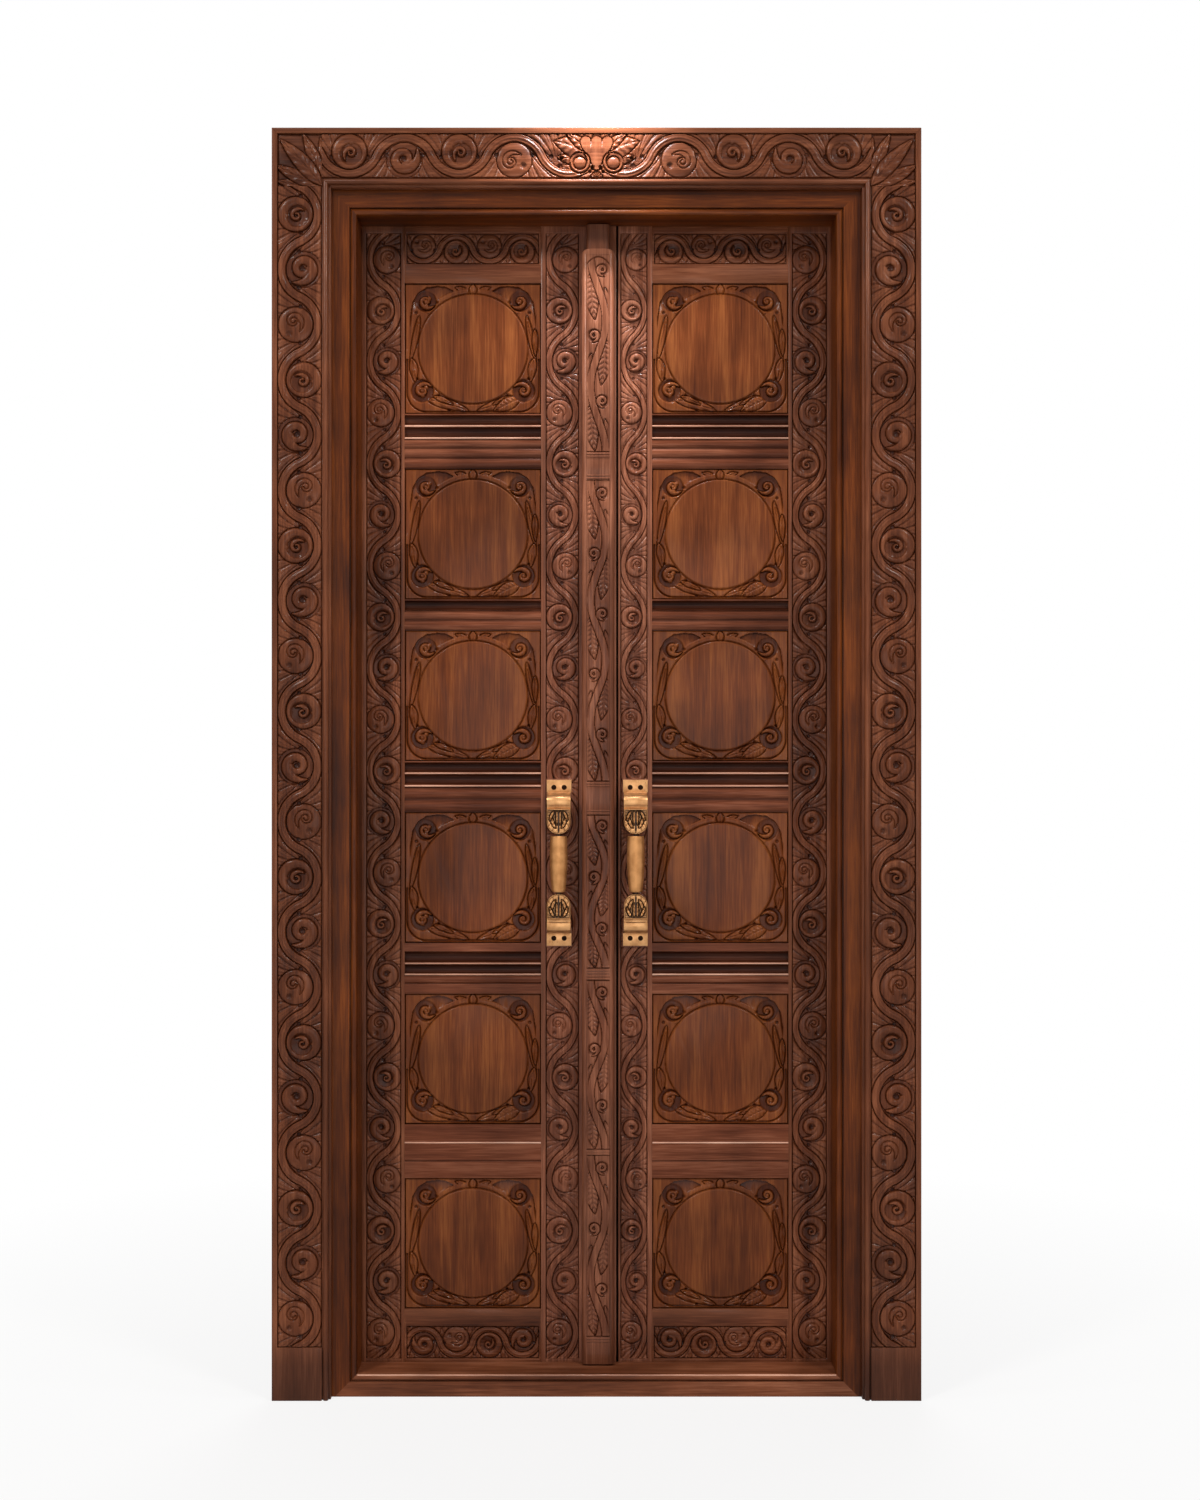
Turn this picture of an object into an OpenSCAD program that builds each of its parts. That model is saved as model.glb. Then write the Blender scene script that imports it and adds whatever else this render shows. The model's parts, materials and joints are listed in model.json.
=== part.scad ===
// Carved temple door: two framed leaves on butt hinges, their frame and its carved casing.
// Millimetres, +Z up, front towards -Y. The origin is on the floor below the middle of the opening,
// in the plane of the wall that the casing lies against.

/* [Opening] */
// Clear width between the jambs
opening_w = 908; // [896:2:920]
// Clear height between the sill and the head jamb
opening_h = 2196; // [2180:2:2212]
// Height of the sill above the floor
sill_h = 42; // [40:1:45]

/* [Frame] */
// Thickness of the jambs and the head jamb
jamb_t = 60; // [58:1:64]
// Width of jamb in sight inside the casing
jamb_show = 47; // [45:1:49]
// Depth from the jamb's front to the leaves
reveal = 80; // [74:1:86]
// Width of the carved casing
casing_w = 110; // [104:1:116]
// Thickness of the carved casing
casing_t = 35; // [34:1:40]
// Step from the casing's front back to the jamb's front
casing_step = 25; // [23:1:27]
// Plain length at the foot of each side casing
casing_foot = 100; // [80:5:120]

/* [Leaves] */
// Thickness of the leaves
leaf_t = 40; // [38:1:44]
// Distance from the middle of the opening to the panels
panel_in = 107.5; // [106:0.5:109]
// Width of a medallion panel in sight
panel_w = 264; // [260:1:268]
// Height of a medallion panel in sight
panel_h = 253; // [250:0.5:255]
// Diameter of the plain disc on each panel
disc_d = 213; // [206:1:216]
// Place of the joint between the two leaves
meet_x = 40; // [39:0.5:42]
// Gap between the two leaves
leaf_gap = 4; // [3.6:0.2:5]

/* [Centre bar] */
// Width of the carved bar over the joint
bar_w = 63; // [58:1:64]
// How far the bar stands out from the leaf
bar_d = 28; // [24:1:29]

/* [Carving] */
// Length of one scroll on the casing
casing_scroll = 102; // [95:1:115]
// Length of one scroll on the leaves
leaf_scroll = 97; // [90:1:110]
// Depth of the ground round the medallions
medallion_depth = 7; // [5:0.5:8]

/* [Handles] */
// Height of a handle over both feet
handle_h = 321; // [310:1:330]
// Height of the handles' middle above the floor
handle_z = 1007; // [980:1:1030]
// Length of the grip between its caps
grip_l = 106.5; // [102:0.5:112]
// Diameter of the grip at its middle
grip_d = 34; // [32:0.5:36]
// Distance from the leaf's face to the grip's axis
grip_off = 45; // [42:1:50]

/* [Hinges] */
// Height of a butt hinge
hinge_h = 100; // [90:2:120]
// Diameter of the knuckle
knuckle_d = 12; // [11.4:0.2:12.4]
// Diameter of the hinge pin
pin_d = 6; // [5.4:0.2:6.4]
// Room round the hinge pin, on the radius
pin_room = 0.05; // [0.03:0.01:0.08]

/* [Hidden] */
$fn = 48;
wood_dark = "#5e3a28";
wood_jamb = "#6b3f22";
wood_leaf = "#6a4331";
wood_panel = "#74452f";
brass = "#b48a44";
old_brass = "#8a6a38";

// Room between pieces
edge_gap = 3;
stop_gap = 2;
fit = 0.25;
touch_gap = 0.5;
lap_gap = 1;

// Planes from front to back
casing_front = -casing_t;
jamb_front = casing_front + casing_step;
leaf_front = jamb_front + reveal;
leaf_back = leaf_front + leaf_t;
stop_back = leaf_front - stop_gap;

// Lines outward from the middle of the opening
stop_cover = 10;
half_w = opening_w / 2;
leaf_edge = half_w + stop_cover;
rebate_w = stop_cover + edge_gap;
jamb_out = half_w + jamb_t;
casing_in = half_w + jamb_show;
casing_out = casing_in + casing_w;
panel_out = panel_in + panel_w;
left_meet = meet_x - leaf_gap / 2;
right_meet = meet_x + leaf_gap / 2;

// Lines upward from the floor
head_z = sill_h + opening_h;
leaf_bottom = sill_h - stop_cover;
leaf_top = head_z + stop_cover;
leaf_h = leaf_top - leaf_bottom;
casing_in_z = head_z + jamb_show;
casing_top = casing_in_z + casing_w;

// Frame mouldings
bead_r = 6;
casing_rebate = 1;
lap_back = 0.3;
bead_sink = 1;
quirk = 2;

// Casing mouldings, from the inner edge outward
lip_w = 4;
lip_drop = 9;
casing_bead = 5;
casing_band_in = lip_w + 2 * casing_bead + quirk;
casing_fillet = 10;
casing_band = casing_w - casing_band_in - casing_fillet;
casing_mid = casing_in + casing_band_in + casing_band / 2;
casing_mid_z = casing_in_z + casing_band_in + casing_band / 2;
lap = jamb_t - jamb_show + lap_gap;
wall_strip = 15;
wall_relief = 2;
head_scroll_pitch = 113;
palmette_w = 70;

// Carved bands
groove_room = 1.5;
stem_share = 0.085;
stem_break = 0.8;
stile_fillet = 8;
stile_margin = 6.5;
hinge_band = leaf_edge - stop_cover - stile_fillet - panel_out - stile_margin;
hinge_band_x = -(panel_out + stile_margin + hinge_band / 2);
meet_margin = 9;
bar_set_in = 3.5;
bar_side = 5.5;
meet_side = 4;
bar_left = left_meet - bar_set_in - bar_w;
left_band = bar_left - bar_side + panel_in - meet_margin;
left_band_x = -panel_in + meet_margin + left_band / 2;
right_band = panel_in - meet_margin - right_meet - meet_side;
right_band_x = right_meet + meet_side + right_band / 2;

// Rows of the leaf, from the top down
top_margin = 13;
top_band = 59.5;
top_plain = 37;
bottom_plain = 33.7;
bottom_band = 63;
bottom_margin = 5;
panel_rows = 6;
rail_share = [106, 60, 99, 98, 104];
share_sum = sum_to(rail_share, len(rail_share));
rows_h = opening_h - top_margin - top_band - top_plain - bottom_plain - bottom_band - bottom_margin;
rails_h = rows_h - panel_rows * panel_h;
panels_top = head_z - top_margin - top_band - top_plain;
panels_bottom = panels_top - rows_h;
top_band_z = head_z - top_margin - top_band;
bottom_band_z = sill_h + bottom_margin;

// Mouldings of the five rails, from the top down: form and share of the height
rail_rows = [
    [["flat", 2], ["cove", 20], ["flat", 3], ["cove", 22], ["bead", 19], ["bead", 19], ["bead", 21]],
    [["flat", 2], ["cove", 19], ["bead", 19], ["bead", 20]],
    [["flat", 2], ["cove", 20], ["flat", 3], ["cove", 21], ["flat", 4], ["bead", 24], ["bead", 25]],
    [["flat", 16], ["cove", 22], ["flat", 3], ["cove", 20], ["bead", 18], ["flat", 19]],
    [["flat", 34], ["line", 3], ["flat", 32], ["line", 3], ["flat", 32]]
];
cove_depth = 9;
bead_depth = 3.5;
bead_quirk = 0.6;
cove_share = 0.48;
bead_share = 0.2;
row_lap = 0.1;

// Grooves in the stiles and rails, and the tongues that lie in them
groove_w = 12;
groove_d = 14;
tenon_t = groove_w - 2 * fit;
tenon_l = groove_d - 2;
rail_web_share = 0.28;
row_groove_d = min(groove_d, rail_web_share * rails_h * min(rail_share) / share_sum);
row_tenon_l = tenon_l * row_groove_d / groove_d;
groove_y = leaf_front + leaf_t / 2;
panel_set = 2;
panel_t = 28;

// Medallions
field_margin = 10;
field_round = 42;
disc_edge = 3;
corner_ring = 15;
corner_ring_r = 4.5;
corner_in = 33;

// Centre bar, as heights above the floor
bar_gap = 3;
bar_round = 10;
bar_neck_w = 46;
bar_bottom = sill_h + bar_gap;
bar_top = head_z - bar_gap;
bar_neck_h = 47;
bar_band = 44;
bar_breaks = [[0.024, 0.184], [0.188, 0.337], [0.347, 0.482], [0.511, 0.776], [0.8, 0.973]];
bar_scroll = 84;

// Handles, downward from the top of a foot
foot_w = 48;
foot_h = 24.5;
foot_t = 4;
strap_w = 46;
slope_h = 13;
band_h = 10.5;
neck_h = 7;
neck_set = 4;
cap_t = 12;
grip_gap = 3.5;
band_off = grip_off - 2;
foot_back = foot_h + 8;
foot_reach = (handle_h - grip_l) / 2;
neck_low = foot_h + slope_h + band_h + neck_h;
cap_end = foot_reach - grip_gap;
handle_xs = [-72.5, 75];
grip_end_r = 14;
grip_pin_r = 4.5;
grip_pin_l = 14;
screw_x = 10;
screw_y = 0.6 * foot_h;
screw_r = 2;
screw_head_r = 3.8;
screw_head_h = 2;
screw_l = 22;
screw_room = 0.15;

// Hinges
hinge_axis_x = leaf_edge + edge_gap / 2;
hinge_stand = 6.5;
hinge_axis_y = leaf_back + hinge_stand;
flap_t = 2.5;
flap_d = 30;
flap_back = leaf_back - touch_gap;
knuckle_r = knuckle_d / 2;
pin_r = pin_d / 2;
knuckles = 5;
knuckle_gap = 0.4;
knuckle_h = (hinge_h - (knuckles - 1) * knuckle_gap) / knuckles;
pin_head_r = 4.6;
pin_head_h = 3;
hinge_end = 240;
hinge_zs = [leaf_bottom + hinge_end, leaf_bottom + leaf_h / 2, leaf_top - hinge_end];
flap_screw_y = leaf_back - flap_d / 2;
flap_screw_r = 1.6;
flap_screw_head_r = 3.2;
flap_screw_head_h = 1.2;
flap_screw_l = 20;
flap_screw_pitch = 0.34 * hinge_h;

// Sum of the first n entries of a list
function sum_to(list, n) = n <= 0 ? 0 : list[n - 1] + sum_to(list, n - 1);

// Height of rail i, counted from 0 at the top
function rail_h(i) = rails_h * rail_share[i] / share_sum;

// Top of panel i and of rail i, counted from 0 at the top
function panel_top(i) = panels_top - i * panel_h - rails_h * sum_to(rail_share, i) / share_sum;
function rail_top(i) = panel_top(i) - panel_h;

// Radius of the arc that stands on a chord with a given rise
function arc_r(chord, rise) = (chord * chord / 4 + rise * rise) / (2 * rise);

// Half width of a carved band's stem, and the depth of the ground it lies in
function stem_r(width) = stem_share * width;
function ground(width) = stem_r(width) + 1;

// Box between two corners
module block(x, y, z) {
    translate([x[0], y[0], z[0]])
        cube([x[1] - x[0], y[1] - y[0], z[1] - z[0]]);
}

// Children drawn on a front face: x to the right, y upward, z out of the face
module on_face(y) {
    translate([0, y, 0])
        rotate([90, 0, 0])
            children();
}

// The right-hand copy of a piece drawn on the left
module right_hand() {
    mirror([1, 0, 0])
        children();
}

// A flat outline on the front, taken through from y[0] to y[1]
module through(points, y) {
    on_face(y[1])
        linear_extrude(y[1] - y[0])
            polygon(points);
}

// Part of a round ring that lies on the ground, with a round section
module ring(r, section, from, turn) {
    rotate([0, 0, from])
        rotate_extrude(angle = turn, $fn = 32)
            translate([r, 0])
                circle(section, $fn = 16);
}

// Pointed leaf lying along x, of even height
module leaf_blade(length, width, height) {
    r = arc_r(length, width / 2);
    translate([0, 0, -1])
        linear_extrude(height + 1)
            intersection() {
                translate([0, width / 2 - r])
                    circle(r, $fn = 96);
                translate([0, r - width / 2])
                    circle(r, $fn = 96);
            }
}

// One bend of the running stem, rising to +y, with the scroll that fills it
module bend(pitch, width) {
    stem = stem_r(width);
    rise = width / 2 - stem - groove_room;
    r = arc_r(pitch, rise);
    half_turn = asin((pitch - stem_break) / 2 / r);
    inner_edge = rise - stem;
    scroll_r = min((inner_edge + width / 2) / 2 - groove_room, 0.3 * pitch);
    scroll_y = inner_edge - groove_room - scroll_r;
    curl = 0.17 * scroll_r;
    translate([0, rise - r, 0])
        ring(r, stem, 90 - half_turn, 2 * half_turn);
    translate([0, scroll_y, 0]) {
        ring(scroll_r - curl, curl, 120, 285);
        ring(0.52 * scroll_r, curl, 60, 250);
        sphere(0.24 * scroll_r);
    }
    translate([0.37 * pitch, -0.36 * width, 0])
        rotate([0, 0, 28])
            leaf_blade(0.3 * pitch, 0.13 * width, 0.5 * stem);
}

// One bend of a slender stem, rising to +y, with a long leaf on its inside
module feather_bend(pitch, width) {
    stem = stem_r(width);
    rise = width / 2 - stem - groove_room;
    r = arc_r(pitch, rise);
    half_turn = asin((pitch - stem_break) / 2 / r);
    translate([0, rise - r, 0])
        ring(r, stem, 90 - half_turn, 2 * half_turn);
    translate([0, -0.12 * width, 0])
        rotate([0, 0, 14])
            leaf_blade(0.56 * pitch, 0.4 * width, 0.7 * stem);
}

// Running stem along x from 0 to length, with a scroll or a feathered leaf in each bend
module vine(length, width, scroll, feathered = false) {
    bends = max(2, round(length / scroll));
    pitch = length / bends;
    for (i = [0:bends - 1])
        translate([(i + 0.5) * pitch, 0, 0])
            mirror([0, i % 2, 0])
                if (feathered)
                    feather_bend(pitch, width);
                else
                    bend(pitch, width);
}

// Upright vine on a face, from height z upward, about the line x
module upright_vine(x, z, length, width, scroll, feathered = false) {
    translate([x, z, -ground(width)])
        rotate([0, 0, 90])
            vine(length, width, scroll, feathered);
}

// Sunk ground of an upright band about the line x
module upright_ground(x, z, length, width) {
    depth = ground(width);
    translate([x - width / 2, z, -depth])
        cube([width, length, depth + 1]);
}

// Section of the jambs: u outward from the opening, y to the back
module frame_section(thick, lap_step = 0) {
    land = 2 * bead_r + quirk;
    seat = jamb_front + bead_r + bead_sink;
    polygon([
        [0, seat],
        [land, seat],
        [land, jamb_front],
        [thick - lap_step, jamb_front],
        if (lap_step > 0)
            [thick - lap_step, lap_back],
        if (lap_step > 0)
            [thick, lap_back],
        [thick, leaf_back],
        [rebate_w, leaf_back],
        [rebate_w, stop_back],
        [0, stop_back]
    ]);
    translate([bead_r, jamb_front + bead_r])
        circle(bead_r);
}

// Section of the casing: u outward from its inner edge, y to the back
module casing_section() {
    polygon([
        [0, jamb_front],
        [0, casing_front + lip_drop],
        [lip_w, casing_front + lip_drop],
        [lip_w, casing_front + casing_bead + bead_sink],
        [casing_band_in, casing_front + casing_bead + bead_sink],
        [casing_band_in, casing_front],
        [casing_w, casing_front],
        [casing_w, 0],
        [casing_w - wall_strip, 0],
        [casing_w - wall_strip, -wall_relief],
        [lap + wall_strip, -wall_relief],
        [lap + wall_strip, 0],
        [lap, 0],
        [lap, jamb_front]
    ]);
    translate([lip_w + casing_bead, casing_front + casing_bead])
        circle(casing_bead);
}

// Upright jamb, mitred at both ends, with beds for the hinges
module jamb() {
    difference() {
        intersection() {
            translate([-half_w, 0, 0])
                mirror([1, 0, 0])
                    linear_extrude(head_z + jamb_t)
                        frame_section(jamb_t, casing_rebate);
            through([
                [-half_w, sill_h],
                [-half_w, head_z],
                [-jamb_out, head_z + jamb_t],
                [-jamb_out, 0],
                [-half_w - sill_h, 0]
            ], [jamb_front - 1, leaf_back + 1]);
        }
        for (z = hinge_zs) {
            flap_bed([-leaf_edge - edge_gap - flap_t, -leaf_edge - edge_gap + 1], z);
            flap_screw_hole(-leaf_edge - edge_gap, z, -1);
        }
    }
}

module left_jamb() {
    color(wood_jamb)
        jamb();
}

module right_jamb() {
    color(wood_jamb)
        right_hand()
            jamb();
}

module head_jamb() {
    color(wood_jamb)
        intersection() {
            translate([0, 0, head_z])
                rotate([0, -90, 0])
                    linear_extrude(2 * jamb_out, center = true)
                        frame_section(jamb_t, casing_rebate);
            through([
                [-half_w, head_z],
                [half_w, head_z],
                [jamb_out, head_z + jamb_t],
                [-jamb_out, head_z + jamb_t]
            ], [jamb_front - 1, leaf_back + 1]);
        }
}

module sill() {
    color(wood_jamb)
        intersection() {
            translate([0, 0, sill_h])
                rotate([0, 90, 0])
                    linear_extrude(2 * jamb_out, center = true)
                        frame_section(sill_h);
            through([
                [-half_w, sill_h],
                [half_w, sill_h],
                [half_w + sill_h, 0],
                [-half_w - sill_h, 0]
            ], [jamb_front - 1, leaf_back + 1]);
        }
}

// Scroll that turns the casing's corner, cut by the mitre
module casing_corner() {
    r = casing_band / 2 - 4 * groove_room;
    translate([-casing_mid, casing_mid_z, -ground(casing_band)]) {
        ring(r - 6, 6, 180, 250);
        ring(0.5 * r, 5, 100, 250);
        sphere(0.2 * r);
    }
}

// Side casing, carved above a plain foot and mitred at the top
module side_casing() {
    intersection() {
        union() {
            difference() {
                translate([-casing_in, 0, 0])
                    mirror([1, 0, 0])
                        linear_extrude(casing_top)
                            casing_section();
                on_face(casing_front)
                    upright_ground(-casing_mid, casing_foot, casing_top - casing_foot - casing_fillet,
                        casing_band);
            }
            on_face(casing_front)
                casing_corner();
        }
        through([
            [-casing_in, 0],
            [-casing_in, casing_in_z],
            [-casing_out, casing_top],
            [-casing_out, 0]
        ], [casing_front - 1, 1]);
    }
    on_face(casing_front)
        upright_vine(-casing_mid, casing_foot + 4, casing_in_z - casing_foot - 4, casing_band, casing_scroll);
}

module left_casing() {
    color(wood_dark)
        side_casing();
}

module right_casing() {
    color(wood_dark)
        right_hand()
            side_casing();
}

// Fan of leaves between two scrolls, at the middle of the head casing
module palmette() {
    low = -casing_band / 2;
    for (turn = [-60, -30, 0, 30, 60])
        translate([0, low + 0.36 * casing_band, 0])
            rotate([0, 0, 90 + turn])
                translate([0.3 * casing_band, 0, 0])
                    leaf_blade(0.46 * casing_band, 0.15 * casing_band, 0.6 * stem_r(casing_band));
    for (side = [-1, 1])
        translate([side * 0.26 * palmette_w, low + 0.24 * casing_band, 0]) {
            ring(0.17 * casing_band, 3.5, 0, 360);
            sphere(0.07 * casing_band);
        }
}

module head_casing() {
    depth = ground(casing_band);
    run = casing_in - palmette_w / 2;
    color(wood_dark) {
        intersection() {
            union() {
                difference() {
                    translate([0, 0, casing_in_z])
                        rotate([0, -90, 0])
                            linear_extrude(2 * casing_out, center = true)
                                casing_section();
                    on_face(casing_front)
                        translate([-casing_out + casing_fillet, casing_mid_z - casing_band / 2, -depth])
                            cube([2 * (casing_out - casing_fillet), casing_band, depth + 1]);
                }
                on_face(casing_front) {
                    casing_corner();
                    mirror([1, 0, 0])
                        casing_corner();
                }
            }
            through([
                [-casing_in, casing_in_z],
                [casing_in, casing_in_z],
                [casing_out, casing_top],
                [-casing_out, casing_top]
            ], [casing_front - 1, 1]);
        }
        on_face(casing_front)
            translate([0, casing_mid_z, -depth]) {
                palmette();
                for (side = [0, 1])
                    mirror([side, 0, 0])
                        translate([palmette_w / 2, 0, 0])
                            vine(run, casing_band, head_scroll_pitch);
            }
    }
}

// Groove for tongues along the inner edge of a left-hand stile at x, opening towards dir
module stile_groove(x, dir) {
    near = dir > 0 ? x - groove_d : x - 1;
    block([near, near + groove_d + 1], [groove_y - groove_w / 2, groove_y + groove_w / 2],
        [leaf_bottom - 1, leaf_top + 1]);
}

// Stile on the hinge side, with its carved band and the beds of the hinges
module hinge_stile() {
    z = bottom_band_z;
    run = head_z - top_margin - z;
    difference() {
        block([-leaf_edge, -panel_out], [leaf_front, leaf_back], [leaf_bottom, leaf_top]);
        stile_groove(-panel_out, 1);
        on_face(leaf_front)
            upright_ground(hinge_band_x, z, run, hinge_band);
        for (hz = hinge_zs) {
            flap_bed([-leaf_edge - 1, -leaf_edge + flap_t], hz);
            flap_screw_hole(-leaf_edge, hz, 1);
        }
    }
    on_face(leaf_front)
        upright_vine(hinge_band_x, z, run, hinge_band, leaf_scroll);
}

module left_hinge_stile() {
    color(wood_leaf)
        hinge_stile();
}

module right_hinge_stile() {
    color(wood_leaf)
        right_hand()
            hinge_stile();
}

// Meeting stile between two upright lines, with its carved band, plain pads under the handle's feet
// and holes for the handle's screws
module meeting_stile(x, band_x, band_w, groove_x, groove_dir, handle_x) {
    z = bottom_band_z;
    run = head_z - top_margin - z;
    pad_h = foot_back + 4;
    difference() {
        union() {
            difference() {
                block(x, [leaf_front, leaf_back], [leaf_bottom, leaf_top]);
                stile_groove(groove_x, groove_dir);
                on_face(leaf_front)
                    upright_ground(band_x, z, run, band_w);
            }
            on_face(leaf_front)
                upright_vine(band_x, z, run, band_w, leaf_scroll);
            for (side = [-1, 1])
                block([band_x - band_w / 2 - 1, band_x + band_w / 2 + 1],
                    [leaf_front, leaf_front + ground(band_w) + 2],
                    side > 0
                        ? [handle_z + handle_h / 2 - pad_h + 2, handle_z + handle_h / 2 + 2]
                        : [handle_z - handle_h / 2 - 2, handle_z - handle_h / 2 + pad_h - 2]);
        }
        handle_places(handle_x)
            for (side = [-1, 1])
                translate([side * screw_x, -screw_y, foot_t - screw_head_h - screw_l - 1])
                    cylinder(r = screw_r + screw_room, h = screw_l + 1);
    }
}

module left_meeting_stile() {
    color(wood_leaf)
        meeting_stile([-panel_in, left_meet], left_band_x, left_band, -panel_in, -1, handle_xs[0]);
}

module right_meeting_stile() {
    color(wood_leaf)
        meeting_stile([right_meet, panel_in], right_band_x, right_band, panel_in, 1, handle_xs[1]);
}

// Cut for one row of a rail's moulding: u along the height, v into the wood
module moulding_cut(form, h) {
    cove = min(cove_depth, cove_share * h);
    bead_w = h - 2 * bead_quirk;
    bead = min(bead_depth, bead_share * bead_w);
    if (form == "cove")
        translate([h / 2, cove - arc_r(h, cove)])
            circle(arc_r(h, cove), $fn = 96);
    if (form == "bead")
        difference() {
            translate([-row_lap, -1])
                square([h + 2 * row_lap, bead + 1]);
            translate([h / 2, arc_r(bead_w, bead)])
                circle(arc_r(bead_w, bead), $fn = 96);
        }
    if (form == "line")
        translate([0, -1])
            square([h, 3]);
}

// Section of a moulded rail: u downward from its top, v to the back
module rail_section(h, rows) {
    shares = [for (row = rows) row[1]];
    scale_h = h / sum_to(shares, len(shares));
    difference() {
        square([h, leaf_t]);
        for (i = [0:len(rows) - 1])
            translate([scale_h * sum_to(shares, i), 0])
                moulding_cut(rows[i][0], scale_h * shares[i]);
    }
}

// Grooves along the top and bottom edges of a rail that takes panels there
module rail_groove(z, opens_up) {
    block([-panel_out - 1, -panel_in + 1], [groove_y - groove_w / 2, groove_y + groove_w / 2],
        opens_up ? [z - row_groove_d, z + 1] : [z - 1, z + row_groove_d]);
}

// Stub tenons at both ends of a left-hand rail
module rail_tenons(z) {
    for (x = [[-panel_out - tenon_l, -panel_out + 1], [-panel_in - 1, -panel_in + tenon_l]])
        block(x, [groove_y - tenon_t / 2, groove_y + tenon_t / 2], z);
}

// Moulded rail i between two panels, on the left
module moulded_rail(i) {
    top = rail_top(i);
    h = rail_h(i);
    difference() {
        translate([-panel_out, leaf_front, top])
            rotate([0, 90, 0])
                linear_extrude(panel_w)
                    rail_section(h, rail_rows[i]);
        rail_groove(top, true);
        rail_groove(top - h, false);
    }
    rail_tenons([top - h + row_groove_d + lap_gap, top - row_groove_d - lap_gap]);
}

// Top or bottom rail with its carved band, on the left
module end_rail(z, band_z, band_w, groove_z, opens_up, tenon_z) {
    inset = 4;
    run = panel_w - 2 * inset;
    depth = ground(band_w);
    difference() {
        block([-panel_out, -panel_in], [leaf_front, leaf_back], z);
        rail_groove(groove_z, opens_up);
        on_face(leaf_front)
            translate([-panel_out + inset, band_z, -depth])
                cube([run, band_w, depth + 1]);
    }
    rail_tenons(tenon_z);
    on_face(leaf_front)
        translate([-panel_out + inset, band_z + band_w / 2, -depth])
            vine(run, band_w, run / 3);
}

module top_rail() {
    end_rail([panels_top, leaf_top], top_band_z, top_band, panels_top, false,
        [panels_top + row_groove_d + lap_gap, leaf_top - groove_d]);
}

module bottom_rail() {
    end_rail([leaf_bottom, panels_bottom], bottom_band_z, bottom_band, panels_bottom, true,
        [leaf_bottom + groove_d, panels_bottom - row_groove_d - lap_gap]);
}

module left_top_rail() {
    color(wood_leaf)
        top_rail();
}

module right_top_rail() {
    color(wood_leaf)
        right_hand()
            top_rail();
}

module left_bottom_rail() {
    color(wood_leaf)
        bottom_rail();
}

module right_bottom_rail() {
    color(wood_leaf)
        right_hand()
            bottom_rail();
}

module left_rail(i) {
    color(wood_leaf)
        moulded_rail(i);
}

module right_rail(i) {
    color(wood_leaf)
        right_hand()
            moulded_rail(i);
}

// Square with round corners, from four discs and two bars
module round_square(w, h, r) {
    square([w - 2 * r, h], center = true);
    square([w, h - 2 * r], center = true);
    for (x = [-1, 1], y = [-1, 1])
        translate([x * (w / 2 - r), y * (h / 2 - r)])
            circle(r);
}

// Face of a medallion about its own middle: sunk ground round a plain disc, scrolls in the corners
module medallion_ground() {
    translate([0, 0, -medallion_depth])
        linear_extrude(medallion_depth + 1)
            difference() {
                round_square(panel_w - 2 * field_margin, panel_h - 2 * field_margin, field_round);
                circle(d = disc_d, $fn = 96);
            }
}

module medallion_relief() {
    translate([0, 0, -medallion_depth]) {
        rotate_extrude($fn = 96)
            translate([disc_d / 2 + disc_edge, 0])
                circle(disc_edge);
        for (x = [0, 1], y = [0, 1])
            mirror([x, 0, 0])
                mirror([0, y, 0]) {
                    translate([panel_w / 2 - corner_in, panel_h / 2 - corner_in, 0]) {
                        ring(corner_ring, corner_ring_r, 100, 270);
                        sphere(1.4 * corner_ring_r);
                    }
                    translate([0.22 * panel_w, panel_h / 2 - field_margin - 5, 0])
                        rotate([0, 0, -6])
                            leaf_blade(0.2 * panel_w, 7, 4);
                }
    }
}

// Medallion panel i, tongued on all sides, on the left
module medallion_panel(i) {
    mid_x = -panel_in - panel_w / 2;
    mid_z = panel_top(i) - panel_h / 2;
    field = [panel_w / 2 - touch_gap, panel_h / 2 - touch_gap];
    reach = [panel_w / 2 + tenon_l, panel_h / 2 + row_tenon_l];
    face = leaf_front + panel_set;
    difference() {
        union() {
            block([mid_x - field[0], mid_x + field[0]], [face, face + panel_t],
                [mid_z - field[1], mid_z + field[1]]);
            block([mid_x - reach[0], mid_x + reach[0]], [groove_y - tenon_t / 2, groove_y + tenon_t / 2],
                [mid_z - reach[1], mid_z + reach[1]]);
        }
        on_face(face)
            translate([mid_x, mid_z, 0])
                medallion_ground();
    }
    on_face(face)
        translate([mid_x, mid_z, 0])
            medallion_relief();
}

module left_panel(i) {
    color(wood_panel)
        medallion_panel(i);
}

module right_panel(i) {
    color(wood_panel)
        right_hand()
            medallion_panel(i);
}

// Section of the centre bar, x across and y to the back, with round front corners
module bar_section(w) {
    front = leaf_front - bar_d;
    for (x = [-w / 2 + bar_round, w / 2 - bar_round])
        translate([x, front + bar_round])
            circle(bar_round);
    translate([-w / 2, front + bar_round])
        square([w, bar_d - bar_round]);
    translate([-w / 2 + bar_round, front])
        square([w - 2 * bar_round, bar_d]);
}

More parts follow.
